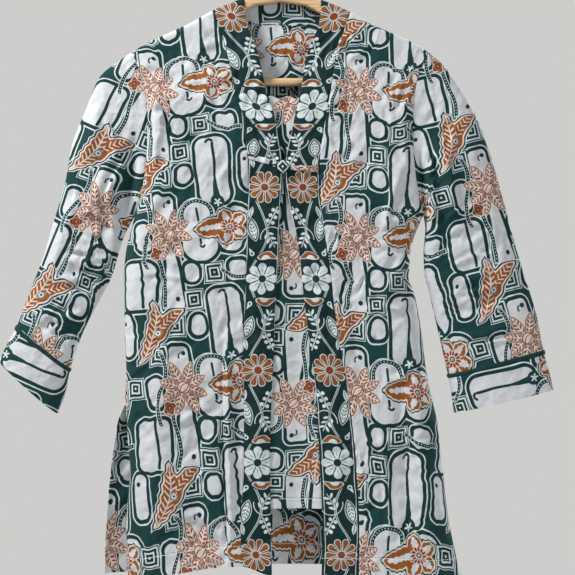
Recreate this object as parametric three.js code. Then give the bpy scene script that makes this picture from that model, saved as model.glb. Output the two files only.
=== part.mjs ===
// Kebaya blouse of printed cotton, hung on a wooden hanger.
// Millimetres, +Z up. The origin is the point of the hook that rests on its rail.
// The front of the blouse faces -Y. Right and left are the wearer's: right is -X.
// "drop" is always the height below the origin, so z = -drop.

import * as THREE from 'three';
import { mergeVertices } from 'three/addons/utils/BufferGeometryUtils.js';

// ---------------------------------------------------------------- driving sizes

const CLOTH = 1.2;            // wall of every cloth piece
const SEAM = 0.3;             // gap between two pieces along a seam
const ARMHOLE_EASE = 0.1;     // added to that gap on the sleeve's side of the armhole
const TURN = 7.8;             // radius of the cloth's turn over the hanger's top edge
const ARMHOLE_SWELL = 5;      // how far the armhole's middle stands off beyond that turn
const UNDERARM_CLOSE = 26;    // drop over which the armhole closes at the underarm
const HEM_DROP = 941;         // lowest point of the fronts and the back
const VENT_DROP = 685;        // top of the side vents
const VENT_OPEN = 8;          // how far each vent edge stands off the side line at the hem
const SIDE_FOLD = 42;         // width over which a panel rounds away to its side seam
const BELLY_DROP = 110;       // drop over which the fronts leave the hanger's depth
const SHOULDER_FADE = 60;     // drop over which the fullness fades towards the armhole's top
const SHOULDER_REST = 0.25;   // share of that fade still there at the armhole's top
const FRONT_HEM_CURVE = 0.8;  // below 1 the fronts' hems rise early, above 1 late
const BACK_HEM_CURVE = 1.5;
const BAND_TOP = { outer: 100, inner: 56 };  // about where a band's edges meet the shoulder, as x

const HANGER_THICK = 12;      // along Y
const HANGER_EDGE = 3;        // chamfer of the arms
const HANGER_CLEAR = 2.8;     // from the cloth's middle surface to the top of the arms
const LUG_INNER = 178;        // inner face of the end lug that holds the bar
const BAR_DROP = 215.6;
const BAR_DIAMETER = 12;
const HOOK_WIRE = 4;
const HOOK_RADIUS = 22;       // inside of the hook's bend

const ARMHOLE_BEND = [0.75, 0.5, 0.25, 0.1];  // armhole's curve kept in a sleeve's first rings
const ROUND_RINGS = 4;        // rings over which a sleeve's points spread evenly round it
const FULL_RINGS = 3;         // rings over which a sleeve leaves the armhole's depth
const SLEEVE_FULLNESS = 0.42; // below 1 the sleeve's section is a flat box, at 1 a lens
const CUFF_RINGS = 2;         // rows of the cuff below the sleeve's last ring
const PIPING_WIDTH = 5;
const PIPING_THICK = 1;

const STRAP_WIDTH = 8;
const STRAP_THICK = 1;
const TRIM_GAP = 0.5;         // between a trim and the cloth it lies on
const KNOT = { x: 4.6, drop: 343, width: 17, height: 20, depth: 8 };

// ------------------------------------------------------------------ short tables

// Line of both shoulders, by distance from the middle.
const SHOULDER = [
  { x: 0, drop: 78 }, { x: 50, drop: 91 }, { x: 60, drop: 94.5 }, { x: 100, drop: 111 },
  { x: 133, drop: 129.5 }, { x: 172, drop: 147.5 }, { x: 196, drop: 158.5 }, { x: 218, drop: 172 },
  { x: 240, drop: 188 },
];

// Armhole, by drop: its distance from the middle, the same on both sides.
const ARMHOLE = [
  { drop: 172, x: 218 }, { drop: 192, x: 209 }, { drop: 212, x: 201 }, { drop: 240, x: 195.5 },
  { drop: 275, x: 193.5 }, { drop: 310, x: 194 }, { drop: 345, x: 197 }, { drop: 375, x: 201.5 },
  { drop: 395, x: 206.5 }, { drop: 408, x: 212 },
];

// Side line below the armhole: front and back on the right part ways at the open vent.
const SIDE = [
  { drop: 408, right: 212, rightBack: 212, left: 212 },
  { drop: 426, right: 217, rightBack: 217, left: 204 },
  { drop: 445, right: 222, rightBack: 222, left: 196.5 },
  { drop: 470, right: 227, rightBack: 227, left: 191 },
  { drop: 500, right: 229.5, rightBack: 229.5, left: 189.5 },
  { drop: 535, right: 229, rightBack: 229, left: 199 },
  { drop: 590, right: 228, rightBack: 228, left: 208.5 },
  { drop: 640, right: 226, rightBack: 226, left: 214.5 },
  { drop: 685, right: 228, rightBack: 228, left: 224 },
  { drop: 706, right: 225.5, rightBack: 236, left: 229 },
  { drop: 740, right: 223.5, rightBack: 243.5, left: 235 },
  { drop: 785, right: 220.5, rightBack: 249, left: 239 },
  { drop: 830, right: 223, rightBack: 254, left: 243 },
  { drop: 880, right: 225, rightBack: 257.5, left: 251 },
  { drop: 941, right: 224, rightBack: 260, left: 266 },
];

// Edges of the two front bands, as x.
const BANDS = [
  { drop: 92, rightOuter: -101, rightInner: -53.5, leftInner: 60.5, leftOuter: 108 },
  { drop: 110, rightOuter: -97, rightInner: -51.5, leftInner: 60, leftOuter: 104.5 },
  { drop: 130, rightOuter: -91, rightInner: -49, leftInner: 57.5, leftOuter: 98 },
  { drop: 172, rightOuter: -78, rightInner: -33.5, leftInner: 41, leftOuter: 83 },
  { drop: 210, rightOuter: -70, rightInner: -25, leftInner: 34, leftOuter: 77 },
  { drop: 235, rightOuter: -65, rightInner: -20, leftInner: 30, leftOuter: 73 },
  { drop: 268, rightOuter: -54, rightInner: -8, leftInner: 22, leftOuter: 67 },
  { drop: 300, rightOuter: -50, rightInner: -3, leftInner: 15, leftOuter: 62 },
  { drop: 326, rightOuter: -47, rightInner: 2.5, leftInner: 6.5, leftOuter: 58.5 },
  { drop: 361, rightOuter: -46, rightInner: 3, leftInner: 7, leftOuter: 57.5 },
  { drop: 392, rightOuter: -46.5, rightInner: 0, leftInner: 12, leftOuter: 59.5 },
  { drop: 420, rightOuter: -47, rightInner: -1.3, leftInner: 19.5, leftOuter: 63 },
  { drop: 455, rightOuter: -48, rightInner: -1.8, leftInner: 26.5, leftOuter: 67.5 },
  { drop: 500, rightOuter: -49, rightInner: -4.5, leftInner: 31.5, leftOuter: 74 },
  { drop: 560, rightOuter: -52, rightInner: -7.5, leftInner: 38, leftOuter: 81 },
  { drop: 615, rightOuter: -53, rightInner: -9, leftInner: 46, leftOuter: 89 },
  { drop: 657, rightOuter: -52, rightInner: -11.6, leftInner: 51, leftOuter: 97 },
  { drop: 770, rightOuter: -52, rightInner: -14.5, leftInner: 57.5, leftOuter: 110 },
  { drop: 866, rightOuter: -57, rightInner: -13, leftInner: 61.5, leftOuter: 114.5 },
  { drop: 941, rightOuter: -50, rightInner: -11.5, leftInner: 60, leftOuter: 114 },
];

// Where the fronts, bands and back end, as drops.
const HEMS = {
  rightSide: 941, rightBand: 920, rightInner: 933,
  leftSide: 941, leftBand: 938, leftInner: 938,
  backSide: 941, backMiddle: 928,
};

// How far the cloth stands off the middle plane, away from its side folds.
const DEPTH = [
  { drop: 100, front: 8, back: 8 }, { drop: 172, front: 12, back: 9 },
  { drop: 240, front: 17, back: 11 }, { drop: 330, front: 21, back: 12 },
  { drop: 450, front: 24, back: 12 }, { drop: 600, front: 27, back: 12 },
  { drop: 800, front: 31, back: 12 }, { drop: 941, front: 35, back: 13 },
];

// Back neck band: its seam and its free edge, by their ends on the shoulders and their
// drop at the middle of the back. It turns over the hanger in its outer stretches.
const NECK = {
  seam: { right: 96.7, left: 104.3, middle: 128 },
  edge: { right: 52.5, left: 60.4, middle: 89 },
};
const NECK_TURN = 0.8;
const NECK_STEPS = [-1, -0.94, -0.87, -NECK_TURN, -0.5, 0, 0.5, NECK_TURN, 0.87, 0.94, 1];

// Rings of each sleeve and its cuff: the outer fold, the inner fold and the depths.
// The last rows, past the sleeve's own, are the cuff.
const SLEEVE_RIGHT = [
  { outX: 241, outDrop: 188, inX: 221, inDrop: 424, front: 15, back: 12 },
  { outX: 264, outDrop: 207, inX: 231, inDrop: 445, front: 18, back: 12 },
  { outX: 286, outDrop: 258, inX: 240, inDrop: 474, front: 19, back: 12 },
  { outX: 306, outDrop: 310, inX: 249, inDrop: 503, front: 18, back: 11 },
  { outX: 316, outDrop: 365, inX: 262, inDrop: 529, front: 17, back: 11 },
  { outX: 332, outDrop: 419, inX: 276, inDrop: 555, front: 16, back: 11 },
  { outX: 348, outDrop: 473, inX: 290, inDrop: 582, front: 16, back: 11 },
  { outX: 368, outDrop: 525, inX: 300, inDrop: 609, front: 16, back: 11 },
  { outX: 388, outDrop: 577, inX: 310, inDrop: 639, front: 16, back: 11 },
  { outX: 401, outDrop: 601, inX: 316, inDrop: 671, front: 17, back: 12 },
  { outX: 413, outDrop: 626, inX: 328, inDrop: 703, front: 18, back: 13 },
];
const SLEEVE_LEFT = [
  { outX: 235, outDrop: 186, inX: 215, inDrop: 421, front: 15, back: 12 },
  { outX: 258, outDrop: 215, inX: 216, inDrop: 438, front: 18, back: 12 },
  { outX: 288, outDrop: 267, inX: 212, inDrop: 466, front: 19, back: 12 },
  { outX: 309, outDrop: 324, inX: 213, inDrop: 495, front: 18, back: 11 },
  { outX: 326, outDrop: 381, inX: 220, inDrop: 525, front: 17, back: 11 },
  { outX: 341, outDrop: 439, inX: 227, inDrop: 555, front: 16, back: 11 },
  { outX: 358, outDrop: 497, inX: 234, inDrop: 586, front: 16, back: 11 },
  { outX: 376, outDrop: 555, inX: 241, inDrop: 617, front: 16, back: 11 },
  { outX: 388, outDrop: 613, inX: 248, inDrop: 648, front: 16, back: 11 },
  { outX: 395, outDrop: 640, inX: 253, inDrop: 675, front: 17, back: 12 },
  { outX: 402, outDrop: 668, inX: 256, inDrop: 702, front: 18, back: 13 },
];

// Drops of the body's rows along the armhole and side line.
const ARMHOLE_ROWS = [172, 173.1, 176, 180, 192, 212, 240, 275, 310, 345, 375, 393, 403, 408];
const SIDE_ROWS = [414, 430, 455, 485, 520, 560, 620, VENT_DROP, 740, 800, 870, HEM_DROP];
const FRONT_COLUMNS = [0, 0.03, 0.08, 0.16, 0.3, 0.5, 0.75, 1];
const BACK_SHOULDER_COLUMNS = [0, 0.05, 0.14, 0.3, 0.6, 1];
const BAND_COLUMNS = [0, 0.5, 1];

// Outline of the hanger's arms, HANGER_EDGE inside its faces: where its top is sampled, the
// end lug from its top round to its inner side, and the underside from there to the middle.
const ARM_TOP_AT = [0, 20, 40, 60, 80, 100, 120, 140, 160, 180, 194];
const LUG = [
  { x: 199, drop: 169.5 }, { x: 203, drop: 175.5 }, { x: 203, drop: 217 }, { x: 195, drop: 225 },
  { x: 187, drop: 225 }, { x: 181, drop: 219 }, { x: 181, drop: 193 }, { x: 174, drop: 179 },
];
const UNDERSIDE = [
  { x: 168, drop: 170 }, { x: 140, drop: 156 }, { x: 100, drop: 135 }, { x: 60, drop: 115.5 },
  { x: 35, drop: 103 }, { x: 0, drop: 98 },
];

// Hook's bend, as degrees round its middle, and the stem below it.
const BEND = { from: -15, to: 225, step: 20 };
const STEM = [{ x: -6, drop: 49 }, { x: 0, drop: 58 }, { x: 0, drop: 68 }];

// Centre panel behind the bands.
const INSET = { topDrop: 240, bottomDrop: 838, tuck: 14, behind: 2.2, sag: 4, columns: 4, rows: 12 };

// Straps of the closure, each from its outer end to the knot.
const STRAPS = [
  { name: 'strap_right', from: { x: -46, drop: 327 }, to: { x: -6, drop: 338 } },
  { name: 'strap_left', from: { x: 56, drop: 346 }, to: { x: 15.5, drop: 344 } },
];

// --------------------------------------------------------------------- materials

const cotton = new THREE.MeshStandardMaterial({ color: '#7f9690', roughness: 0.85, metalness: 0 });
const border = new THREE.MeshStandardMaterial({ color: '#3d6a66', roughness: 0.85, metalness: 0 });
const green = new THREE.MeshStandardMaterial({ color: '#1f3d3a', roughness: 0.85, metalness: 0 });
const wood = new THREE.MeshStandardMaterial({ color: '#d9b98a', roughness: 0.5, metalness: 0 });
const steel = new THREE.MeshStandardMaterial({ color: '#b9bcc0', roughness: 0.3, metalness: 1 });

// ------------------------------------------------------------------ small helpers

const vec = (x, y, z) => new THREE.Vector3(x, y, z);
const mix = (a, b, t) => a + (b - a) * t;
const clamp = (t) => Math.min(Math.max(t, 0), 1);
const ease = (t) => clamp(t) ** 2 * (3 - 2 * clamp(t));
const quarter = (t) => Math.sqrt(1 - (1 - clamp(t)) ** 2);

// A smooth curve through a table's rows that never overshoots them.
function along(rows, by, of) {
  const x = rows.map((row) => row[by]);
  const y = rows.map((row) => row[of]);
  const slope = x.slice(1).map((next, i) => (y[i + 1] - y[i]) / (next - x[i]));
  const tangent = x.map((_, i) => {
    if (i === 0 || i === x.length - 1) return slope[Math.max(i - 1, 0)];
    const [before, after] = [slope[i - 1], slope[i]];
    return before * after <= 0 ? 0 : (2 * before * after) / (before + after);
  });
  return (at) => {
    let i = 0;
    while (i < x.length - 2 && at > x[i + 1]) i += 1;
    const width = x[i + 1] - x[i];
    const t = clamp((at - x[i]) / width);
    const level = y[i] * (1 + 2 * t) * (1 - t) ** 2 + y[i + 1] * t * t * (3 - 2 * t);
    return level + width * (tangent[i] * t * (1 - t) ** 2 - tangent[i + 1] * t * t * (1 - t));
  };
}

const shoulderDrop = along(SHOULDER, 'x', 'drop');
const armholeX = along(ARMHOLE, 'drop', 'x');
const frontDepth = along(DEPTH, 'drop', 'front');
const backDepth = along(DEPTH, 'drop', 'back');
const ARM_TOP = ARMHOLE[0].drop;
const ARM_END = ARMHOLE.at(-1).drop;

// How far the armhole's edge stands off the middle plane.
function armholeStand(drop) {
  const share = clamp((drop - ARM_TOP) / (ARM_END - ARM_TOP));
  const swell = ARMHOLE_SWELL * Math.sin(Math.PI * share);
  const turned = TURN * quarter((drop - ARM_TOP) / TURN);
  return (turned + swell) * quarter((ARM_END - drop) / UNDERARM_CLOSE);
}

// Outward normal, in the XZ plane, of a side line that runs down from one point to another.
function sideways(from, to, sign) {
  const run = to.clone().sub(from);
  return vec(-run.z * sign, 0, run.x * sign).normalize();
}

// Closed shell from a grid of middle-surface points { p, n }: rows of equal length.
function shell(name, grid, material, { round = false, wall = CLOTH, lift = 0 } = {}) {
  const rows = grid.length;
  const columns = grid[0].length;
  const positions = [];
  for (const level of [lift + wall / 2, lift - wall / 2]) {
    for (const row of grid) {
      for (const { p, n } of row) positions.push(...p.clone().addScaledVector(n, level).toArray());
    }
  }
  const middle = Math.floor(rows / 2);
  const third = Math.floor(columns / 3);
  const down = grid[middle][third].p.clone().sub(grid[middle - 1][third].p);
  const across = grid[middle][third + 1].p.clone().sub(grid[middle][third].p);
  const flip = down.cross(across).dot(grid[middle][third].n) < 0;
  const index = [];
  const quad = (a, b, c, d) => index.push(...(flip ? [a, c, b, a, d, c] : [a, b, c, a, c, d]));
  const at = (layer, i, j) => layer * rows * columns + i * columns + (j % columns);
  const last = round ? columns : columns - 1;
  for (let i = 0; i < rows - 1; i += 1) {
    for (let j = 0; j < last; j += 1) {
      quad(at(0, i, j), at(0, i + 1, j), at(0, i + 1, j + 1), at(0, i, j + 1));
      quad(at(1, i, j), at(1, i, j + 1), at(1, i + 1, j + 1), at(1, i + 1, j));
    }
    if (round) continue;
    quad(at(0, i, 0), at(1, i, 0), at(1, i + 1, 0), at(0, i + 1, 0));
    quad(at(0, i, last), at(0, i + 1, last), at(1, i + 1, last), at(1, i, last));
  }
  for (let j = 0; j < last; j += 1) {
    quad(at(0, 0, j), at(0, 0, j + 1), at(1, 0, j + 1), at(1, 0, j));
    quad(at(0, rows - 1, j), at(1, rows - 1, j), at(1, rows - 1, j + 1), at(0, rows - 1, j + 1));
  }
  const geometry = new THREE.BufferGeometry();
  geometry.setAttribute('position', new THREE.Float32BufferAttribute(positions, 3));
  geometry.setIndex(index);
  const mesh = new THREE.Mesh(geometry, material);
  mesh.name = name;
  return mesh;
}

// Normals of a grid of points, by the differences of each point's neighbours.
function normals(points, facing, round = false) {
  const rows = points.length;
  const columns = points[0].length;
  return points.map((row, i) => row.map((p, j) => {
    const down = points[Math.min(i + 1, rows - 1)][j].clone().sub(points[Math.max(i - 1, 0)][j]);
    const next = round ? (j + 1) % columns : Math.min(j + 1, columns - 1);
    const before = round ? (j + columns - 1) % columns : Math.max(j - 1, 0);
    const n = row[next].clone().sub(row[before]).cross(down).normalize();
    return { p, n: n.multiplyScalar(facing) };
  }));
}

// Cut a grid in two at one column, with half the seam's gap taken from each part.
function cutColumns(grid, column) {
  const pulled = (row, toward) => {
    const gap = row[toward].p.clone().sub(row[column].p).setLength(SEAM / 2);
    return { p: row[column].p.clone().add(gap), n: row[column].n };
  };
  return [
    grid.map((row) => [...row.slice(0, column), pulled(row, column - 1)]),
    grid.map((row) => [pulled(row, column + 1), ...row.slice(column + 1)]),
  ];
}

// -------------------------------------------------------------------- the armhole

// One closed ring per side: down the front from the shoulder, up the back.
function armholeRing(sign) {
  const half = ARMHOLE_ROWS.length - 1;
  const ring = [];
  for (let j = 0; j < 2 * half; j += 1) {
    const front = j <= half;
    const drop = ARMHOLE_ROWS[front ? j : 2 * half - j];
    ring.push(vec(sign * armholeX(drop), (front ? -1 : 1) * armholeStand(drop), -drop));
  }
  return ring.map((p, j) => {
    const tangent = ring[(j + 1) % ring.length].clone().sub(ring[(j + 2 * half - 1) % ring.length]);
    const drop = -p.z;
    const slope = (armholeX(drop + 1) - armholeX(drop - 1)) / 2;
    const out = vec(sign, 0, slope).normalize();
    const n = out.clone().cross(tangent).normalize().multiplyScalar(-sign);
    return { p, n, out };
  });
}

// ----------------------------------------------------------------- body's surface

// How far a front or back stands off the middle plane at a place on it.
function standOff(x, drop, sideX, full) {
  const below = drop - shoulderDrop(Math.abs(x));
  const turned = TURN * quarter(below / TURN);
  const belly = Math.max(full - TURN, 0) * ease(below / BELLY_DROP);
  if (drop < ARM_TOP) return turned + belly * quarter((ARM_TOP - drop) / SHOULDER_FADE + SHOULDER_REST);
  const vent = VENT_OPEN * clamp((drop - VENT_DROP) / (HEM_DROP - VENT_DROP));
  const edge = drop < ARM_END ? armholeStand(drop) : vent;
  return mix(edge, turned + belly, quarter((sideX - Math.abs(x)) / SIDE_FOLD));
}

function sideLine(column) {
  const below = along(SIDE, 'drop', column);
  return (drop) => (drop < ARM_END ? armholeX(drop) : below(drop));
}

// Coons patch between four edges, all given as functions of 0..1 to { x, drop }.
function patch(top, hem, start, end) {
  return (s, t) => {
    const at = {};
    for (const key of ['x', 'drop']) {
      const corners = mix(mix(top(0)[key], top(1)[key], s), mix(hem(0)[key], hem(1)[key], s), t);
      const rails = mix(start(t)[key], end(t)[key], s) + mix(top(s)[key], hem(s)[key], t);
      at[key] = rails - corners;
    }
    return at;
  };
}

// The body's rows, as shares of the armhole and side line's whole drop.
const ROWS = [...ARMHOLE_ROWS, ...SIDE_ROWS].map((drop) => (drop - ARM_TOP) / (HEM_DROP - ARM_TOP));
const ARM_ROW = ARMHOLE_ROWS.length - 1;
const VENT_ROW = ARMHOLE_ROWS.length + SIDE_ROWS.indexOf(VENT_DROP);

// Lay a panel's side column on the armhole and the side seam's line.
function seamSide(grid, column, sign, face) {
  const ring = armholeRing(sign);
  const crotch = ring[ARM_ROW].n;
  grid.forEach((row, i) => {
    const point = row[column];
    if (i <= ARM_ROW) {
      const { n, out } = face < 0 ? ring[i] : ring[(2 * ARM_ROW - i) % (2 * ARM_ROW)];
      point.n = n.clone();
      point.p.addScaledVector(out, -SEAM / 2);
    } else if (i <= VENT_ROW) {
      point.n = sideways(grid[i - 1][column].p, grid[i + 1][column].p, sign);
      if (i === ARM_ROW + 1) point.n.add(crotch).normalize();
    }
    if (i === 0 || i === ARM_ROW) point.p.y = face * SEAM / 2;
    if (i > ARM_ROW && i <= VENT_ROW) point.p.y = face * SEAM / 2;
  });
}

// Lay a panel's top row on the shoulder seam.
function seamShoulder(grid, columns, face) {
  for (const j of columns) {
    const { p } = grid[0][j];
    const reach = Math.abs(p.x);
    const slope = (shoulderDrop(reach + 1) - shoulderDrop(reach - 1)) / 2;
    p.y = face * SEAM / 2;
    grid[0][j].n = vec(Math.sign(p.x) * slope, 0, 1).normalize();
  }
}

// One front with its band: a single surface, cut at the band's outer edge.
function front(side) {
  const sign = side === 'right' ? -1 : 1;
  const sideX = sideLine(side);
  const outer = along(BANDS, 'drop', `${side}Outer`);
  const inner = along(BANDS, 'drop', `${side}Inner`);
  const onShoulder = (x) => ({ x: sign * x, drop: shoulderDrop(x) });
  const tip = ARMHOLE[0].x;
  const neck = Math.abs(outer(shoulderDrop(BAND_TOP.outer)));
  const collar = Math.abs(inner(shoulderDrop(BAND_TOP.inner)));
  const down = (line, from, to) => (t) => ({ x: line(mix(from, to, t)), drop: mix(from, to, t) });
  const sideEdge = down((drop) => sign * sideX(drop), ARM_TOP, HEMS[`${side}Side`]);
  const seam = down(outer, shoulderDrop(neck), HEMS[`${side}Band`]);
  const edge = down(inner, shoulderDrop(collar), HEMS[`${side}Inner`]);
  const between = (a, b) => (s) => ({
    x: mix(a.x, b.x, s),
    drop: mix(a.drop, b.drop, ease(s) ** FRONT_HEM_CURVE),
  });
  const panel = patch((s) => onShoulder(mix(tip, neck, s)), between(sideEdge(1), seam(1)), sideEdge, seam);
  const band = patch((s) => onShoulder(mix(neck, collar, s)), between(seam(1), edge(1)), seam, edge);
  const points = ROWS.map((t) => {
    const places = FRONT_COLUMNS.map((s) => panel(s, t));
    places.push(...BAND_COLUMNS.slice(1).map((s) => band(s, t)));
    return places.map(({ x, drop }) => (
      vec(x, -standOff(x, drop, sideX(drop), frontDepth(drop)), -drop)));
  });
  const grid = normals(points, sign);
  seamShoulder(grid, grid[0].keys(), -1);
  seamSide(grid, 0, sign, -1);
  return cutColumns(grid, FRONT_COLUMNS.length - 1);
}

// A place on the neck band's seam or free edge, from the right shoulder (-1) to the left.
function neckPlace(share, edge) {
  const x = share * (share < 0 ? edge.right : edge.left);
  const turn = clamp((1 - Math.abs(share)) / (1 - NECK_TURN)) * (Math.PI / 2);
  const hang = edge.middle - shoulderDrop(0) - TURN;
  const sag = TURN * (1 - Math.cos(turn)) + hang * (1 - Math.min(Math.abs(share) / NECK_TURN, 1) ** 2);
  return vec(x, TURN * Math.sin(turn), -shoulderDrop(Math.abs(x)) - sag);
}

function neckNormal(share) {
  const { x } = neckPlace(share, NECK.seam);
  const slope = (shoulderDrop(Math.abs(x) + 1) - shoulderDrop(Math.abs(x) - 1)) / 2;
  const turn = clamp((1 - Math.abs(share)) / (1 - NECK_TURN)) * (Math.PI / 2);
  const up = vec(Math.sign(x) * slope, 0, 1).normalize();
  return up.multiplyScalar(Math.cos(turn)).add(vec(0, Math.sin(turn), 0)).normalize();
}

function backPanel() {
  const rightX = sideLine('rightBack');
  const leftX = sideLine('left');
  const tip = ARMHOLE[0].x;
  const places = [];
  const shoulder = (sign, share) => {
    const x = mix(tip, sign < 0 ? NECK.seam.right : NECK.seam.left, share);
    places.push({ x: sign * x, drop: shoulderDrop(x) });
  };
  BACK_SHOULDER_COLUMNS.slice(0, -1).forEach((share) => shoulder(-1, share));
  for (const share of NECK_STEPS) {
    const { x, z } = neckPlace(share, NECK.seam);
    places.push({ x, drop: -z, share });
  }
  BACK_SHOULDER_COLUMNS.slice(0, -1).reverse().forEach((share) => shoulder(1, share));
  const shares = places.map(({ x }) => (x + tip) / (2 * tip));
  const pick = (s) => places[shares.findIndex((share) => Math.abs(share - s) < 1e-9)];
  const down = (sign, line) => (t) => {
    const drop = mix(ARM_TOP, HEM_DROP, t);
    return { x: sign * line(drop), drop };
  };
  const [right, left] = [down(-1, rightX), down(1, leftX)];
  const hem = (s) => ({
    x: mix(right(1).x, left(1).x, s),
    drop: mix(HEMS.backSide, HEMS.backMiddle, Math.sin(Math.PI * s) ** BACK_HEM_CURVE),
  });
  const surface = patch(pick, hem, right, left);
  const points = ROWS.map((t) => shares.map((s) => {
    const { x, drop } = surface(s, t);
    const sideX = x < 0 ? rightX(drop) : leftX(drop);
    return vec(x, standOff(x, drop, sideX, backDepth(drop)), -drop);
  }));
  const grid = normals(points, 1);
  seamSide(grid, 0, -1, 1);
  seamSide(grid, shares.length - 1, 1, 1);
  const inNeck = ({ share = 1 }) => Math.abs(share) < 1;
  seamShoulder(grid, places.flatMap((place, j) => (inNeck(place) ? [] : [j])), 1);
  places.forEach((place, j) => {
    if (!inNeck(place)) return;
    grid[0][j].n = neckNormal(place.share);
    grid[0][j].p.copy(neckPlace(place.share, NECK.seam));
    grid[0][j].p.z -= SEAM / 2;
  });
  return shell('back_panel', grid, cotton);
}

function neckBand() {
  const grid = BAND_COLUMNS.map((across) => NECK_STEPS.map((share) => {
    const p = neckPlace(share, NECK.seam).lerp(neckPlace(share, NECK.edge), across);
    const n = neckNormal(share);
    if (Math.abs(share) === 1) p.y = SEAM / 2;
    if (across === 0) p.z += (Math.abs(share) === 1 ? 0 : SEAM / 2);
    return { p, n };
  }));
  grid[0][0].p.x += SEAM / 2;
  grid[0].at(-1).p.x -= SEAM / 2;
  return shell('neck_band', grid, cotton);
}

// ------------------------------------------------------------------------ sleeves

// Sleeve and cuff as one long tube, cut at the cuff's seam.
function sleeveRings(sign, table) {
  const ring = armholeRing(sign);
  const half = ARM_ROW;
  const top = ring[0].p;
  const under = ring[half].p;
  const span = under.clone().sub(top);
  const shares = ARMHOLE_ROWS.map((drop) => (drop - ARM_TOP) / (ARM_END - ARM_TOP));
  const points = [ring.map(({ p, out }) => p.clone().addScaledVector(out, SEAM / 2 + ARMHOLE_EASE))];
  table.forEach((row, k) => {
    const outside = vec(sign * row.outX, 0, -row.outDrop);
    const inside = vec(sign * row.inX, 0, -row.inDrop);
    const round = clamp((k + 1) / ROUND_RINGS);
    const bent = ARMHOLE_BEND[k] ?? 0;
    points.push(ring.map(({ p }, i) => {
      const j = i <= half ? i : 2 * half - i;
      const share = mix(shares[j], (1 - Math.cos(Math.PI * j / half)) / 2, round);
      const place = outside.clone().lerp(inside, share);
      const bow = p.clone().sub(top).addScaledVector(span, -shares[j]).setY(0);
      place.addScaledVector(bow, bent);
      const flat = (4 * share * (1 - share)) ** SLEEVE_FULLNESS;
      const free = (i <= half ? -row.front : row.back) * flat;
      place.y = mix(p.y, free, clamp((k + 1) / FULL_RINGS));
      return place;
    }));
  });
  const grid = normals(points, sign, true);
  grid[0].forEach((point, i) => { point.n = ring[i].n.clone(); });
  return grid;
}

function sleeve(side) {
  const sign = side === 'right' ? -1 : 1;
  const table = side === 'right' ? SLEEVE_RIGHT : SLEEVE_LEFT;
  const grid = sleeveRings(sign, table);
  const seam = grid.length - 1 - CUFF_RINGS;
  const pulled = (toward, gap) => grid[seam].map(({ p, n }, i) => {
    const step = grid[toward][i].p.clone().sub(p).setLength(gap);
    return { p: p.clone().add(step), n };
  });
  const upper = [...grid.slice(0, seam), pulled(seam - 1, SEAM / 2)];
  const lower = [pulled(seam + 1, SEAM / 2), ...grid.slice(seam + 1)];
  const piping = [pulled(seam - 1, PIPING_WIDTH / 2), pulled(seam + 1, PIPING_WIDTH / 2)];
  const onTop = CLOTH / 2 + TRIM_GAP + PIPING_THICK / 2;
  return [
    shell(`sleeve_${side}`, upper, cotton, { round: true }),
    shell(`cuff_${side}`, lower, cotton, { round: true }),
    shell(`cuff_piping_${side}`, piping, green, { round: true, wall: PIPING_THICK, lift: onTop }),
  ];
}

// ------------------------------------------------------- centre panel and closure

// Depth of the bands' middle surface, for what lies behind and on them.
const bandStand = (x, drop) => -standOff(x, drop, sideLine('left')(drop), frontDepth(drop));

function inset() {
  const rightEdge = along(BANDS, 'drop', 'rightInner');
  const leftEdge = along(BANDS, 'drop', 'leftInner');
  const points = [];
  for (let i = 0; i <= INSET.rows; i += 1) {
    const drop = mix(INSET.topDrop, INSET.bottomDrop, i / INSET.rows);
    const row = [];
    for (let j = 0; j <= INSET.columns; j += 1) {
      const share = j / INSET.columns;
      const x = mix(rightEdge(drop) - INSET.tuck, leftEdge(drop) + INSET.tuck, share);
      const sag = INSET.sag * Math.sin(Math.PI * share);
      row.push(vec(x, bandStand(x, drop) + INSET.behind + sag, -drop));
    }
    points.push(row);
  }
  return shell('centre_inset', normals(points, -1), cotton);
}

function strap({ name, from, to }) {
  const points = [0, 0.25, 0.5, 0.75, 1].map((share) => {
    const x = mix(from.x, to.x, share);
    const drop = mix(from.drop, to.drop, share);
    return [-STRAP_WIDTH / 2, STRAP_WIDTH / 2]
      .map((off) => vec(x, bandStand(x, drop + off), -drop - off));
  });
  const lift = CLOTH / 2 + TRIM_GAP + STRAP_THICK / 2;
  return shell(name, normals(points, Math.sign(to.x - from.x)), cotton, { wall: STRAP_THICK, lift });
}

function knot() {
  const geometry = new THREE.SphereGeometry(1, 12, 8);
  geometry.scale(KNOT.width / 2, KNOT.depth / 2, KNOT.height / 2);
  const mesh = new THREE.Mesh(geometry, cotton);
  mesh.name = 'knot';
  const lift = CLOTH / 2 + TRIM_GAP + KNOT.depth / 2;
  mesh.position.set(KNOT.x, bandStand(KNOT.x, KNOT.drop) - lift, -KNOT.drop);
  return mesh;
}

// ------------------------------------------------------------------------- hanger

// Chamfering adds its own width all round, so the outline lies that far inside the arms.
function hangerArms() {
  const half = ARM_TOP_AT.map((x) => [x, -(shoulderDrop(x) + HANGER_CLEAR + HANGER_EDGE)]);
  half.push(...LUG.map(({ x, drop }) => [x, -drop]));
  half.push(...UNDERSIDE.map(({ x, drop }) => [x, HANGER_EDGE - drop]));
  const outline = [...half, ...half.slice(1, -1).map(([x, z]) => [-x, z]).reverse()];
  const shape = new THREE.Shape(outline.map(([x, z]) => new THREE.Vector2(x, z)));
  const geometry = new THREE.ExtrudeGeometry(shape, {
    depth: HANGER_THICK - 2 * HANGER_EDGE, bevelEnabled: true,
    bevelThickness: HANGER_EDGE, bevelSize: HANGER_EDGE, bevelSegments: 1,
  });
  geometry.translate(0, 0, HANGER_EDGE - HANGER_THICK / 2);
  geometry.rotateX(Math.PI / 2);
  const mesh = new THREE.Mesh(geometry, wood);
  mesh.name = 'hanger_arms';
  return mesh;
}

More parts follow.
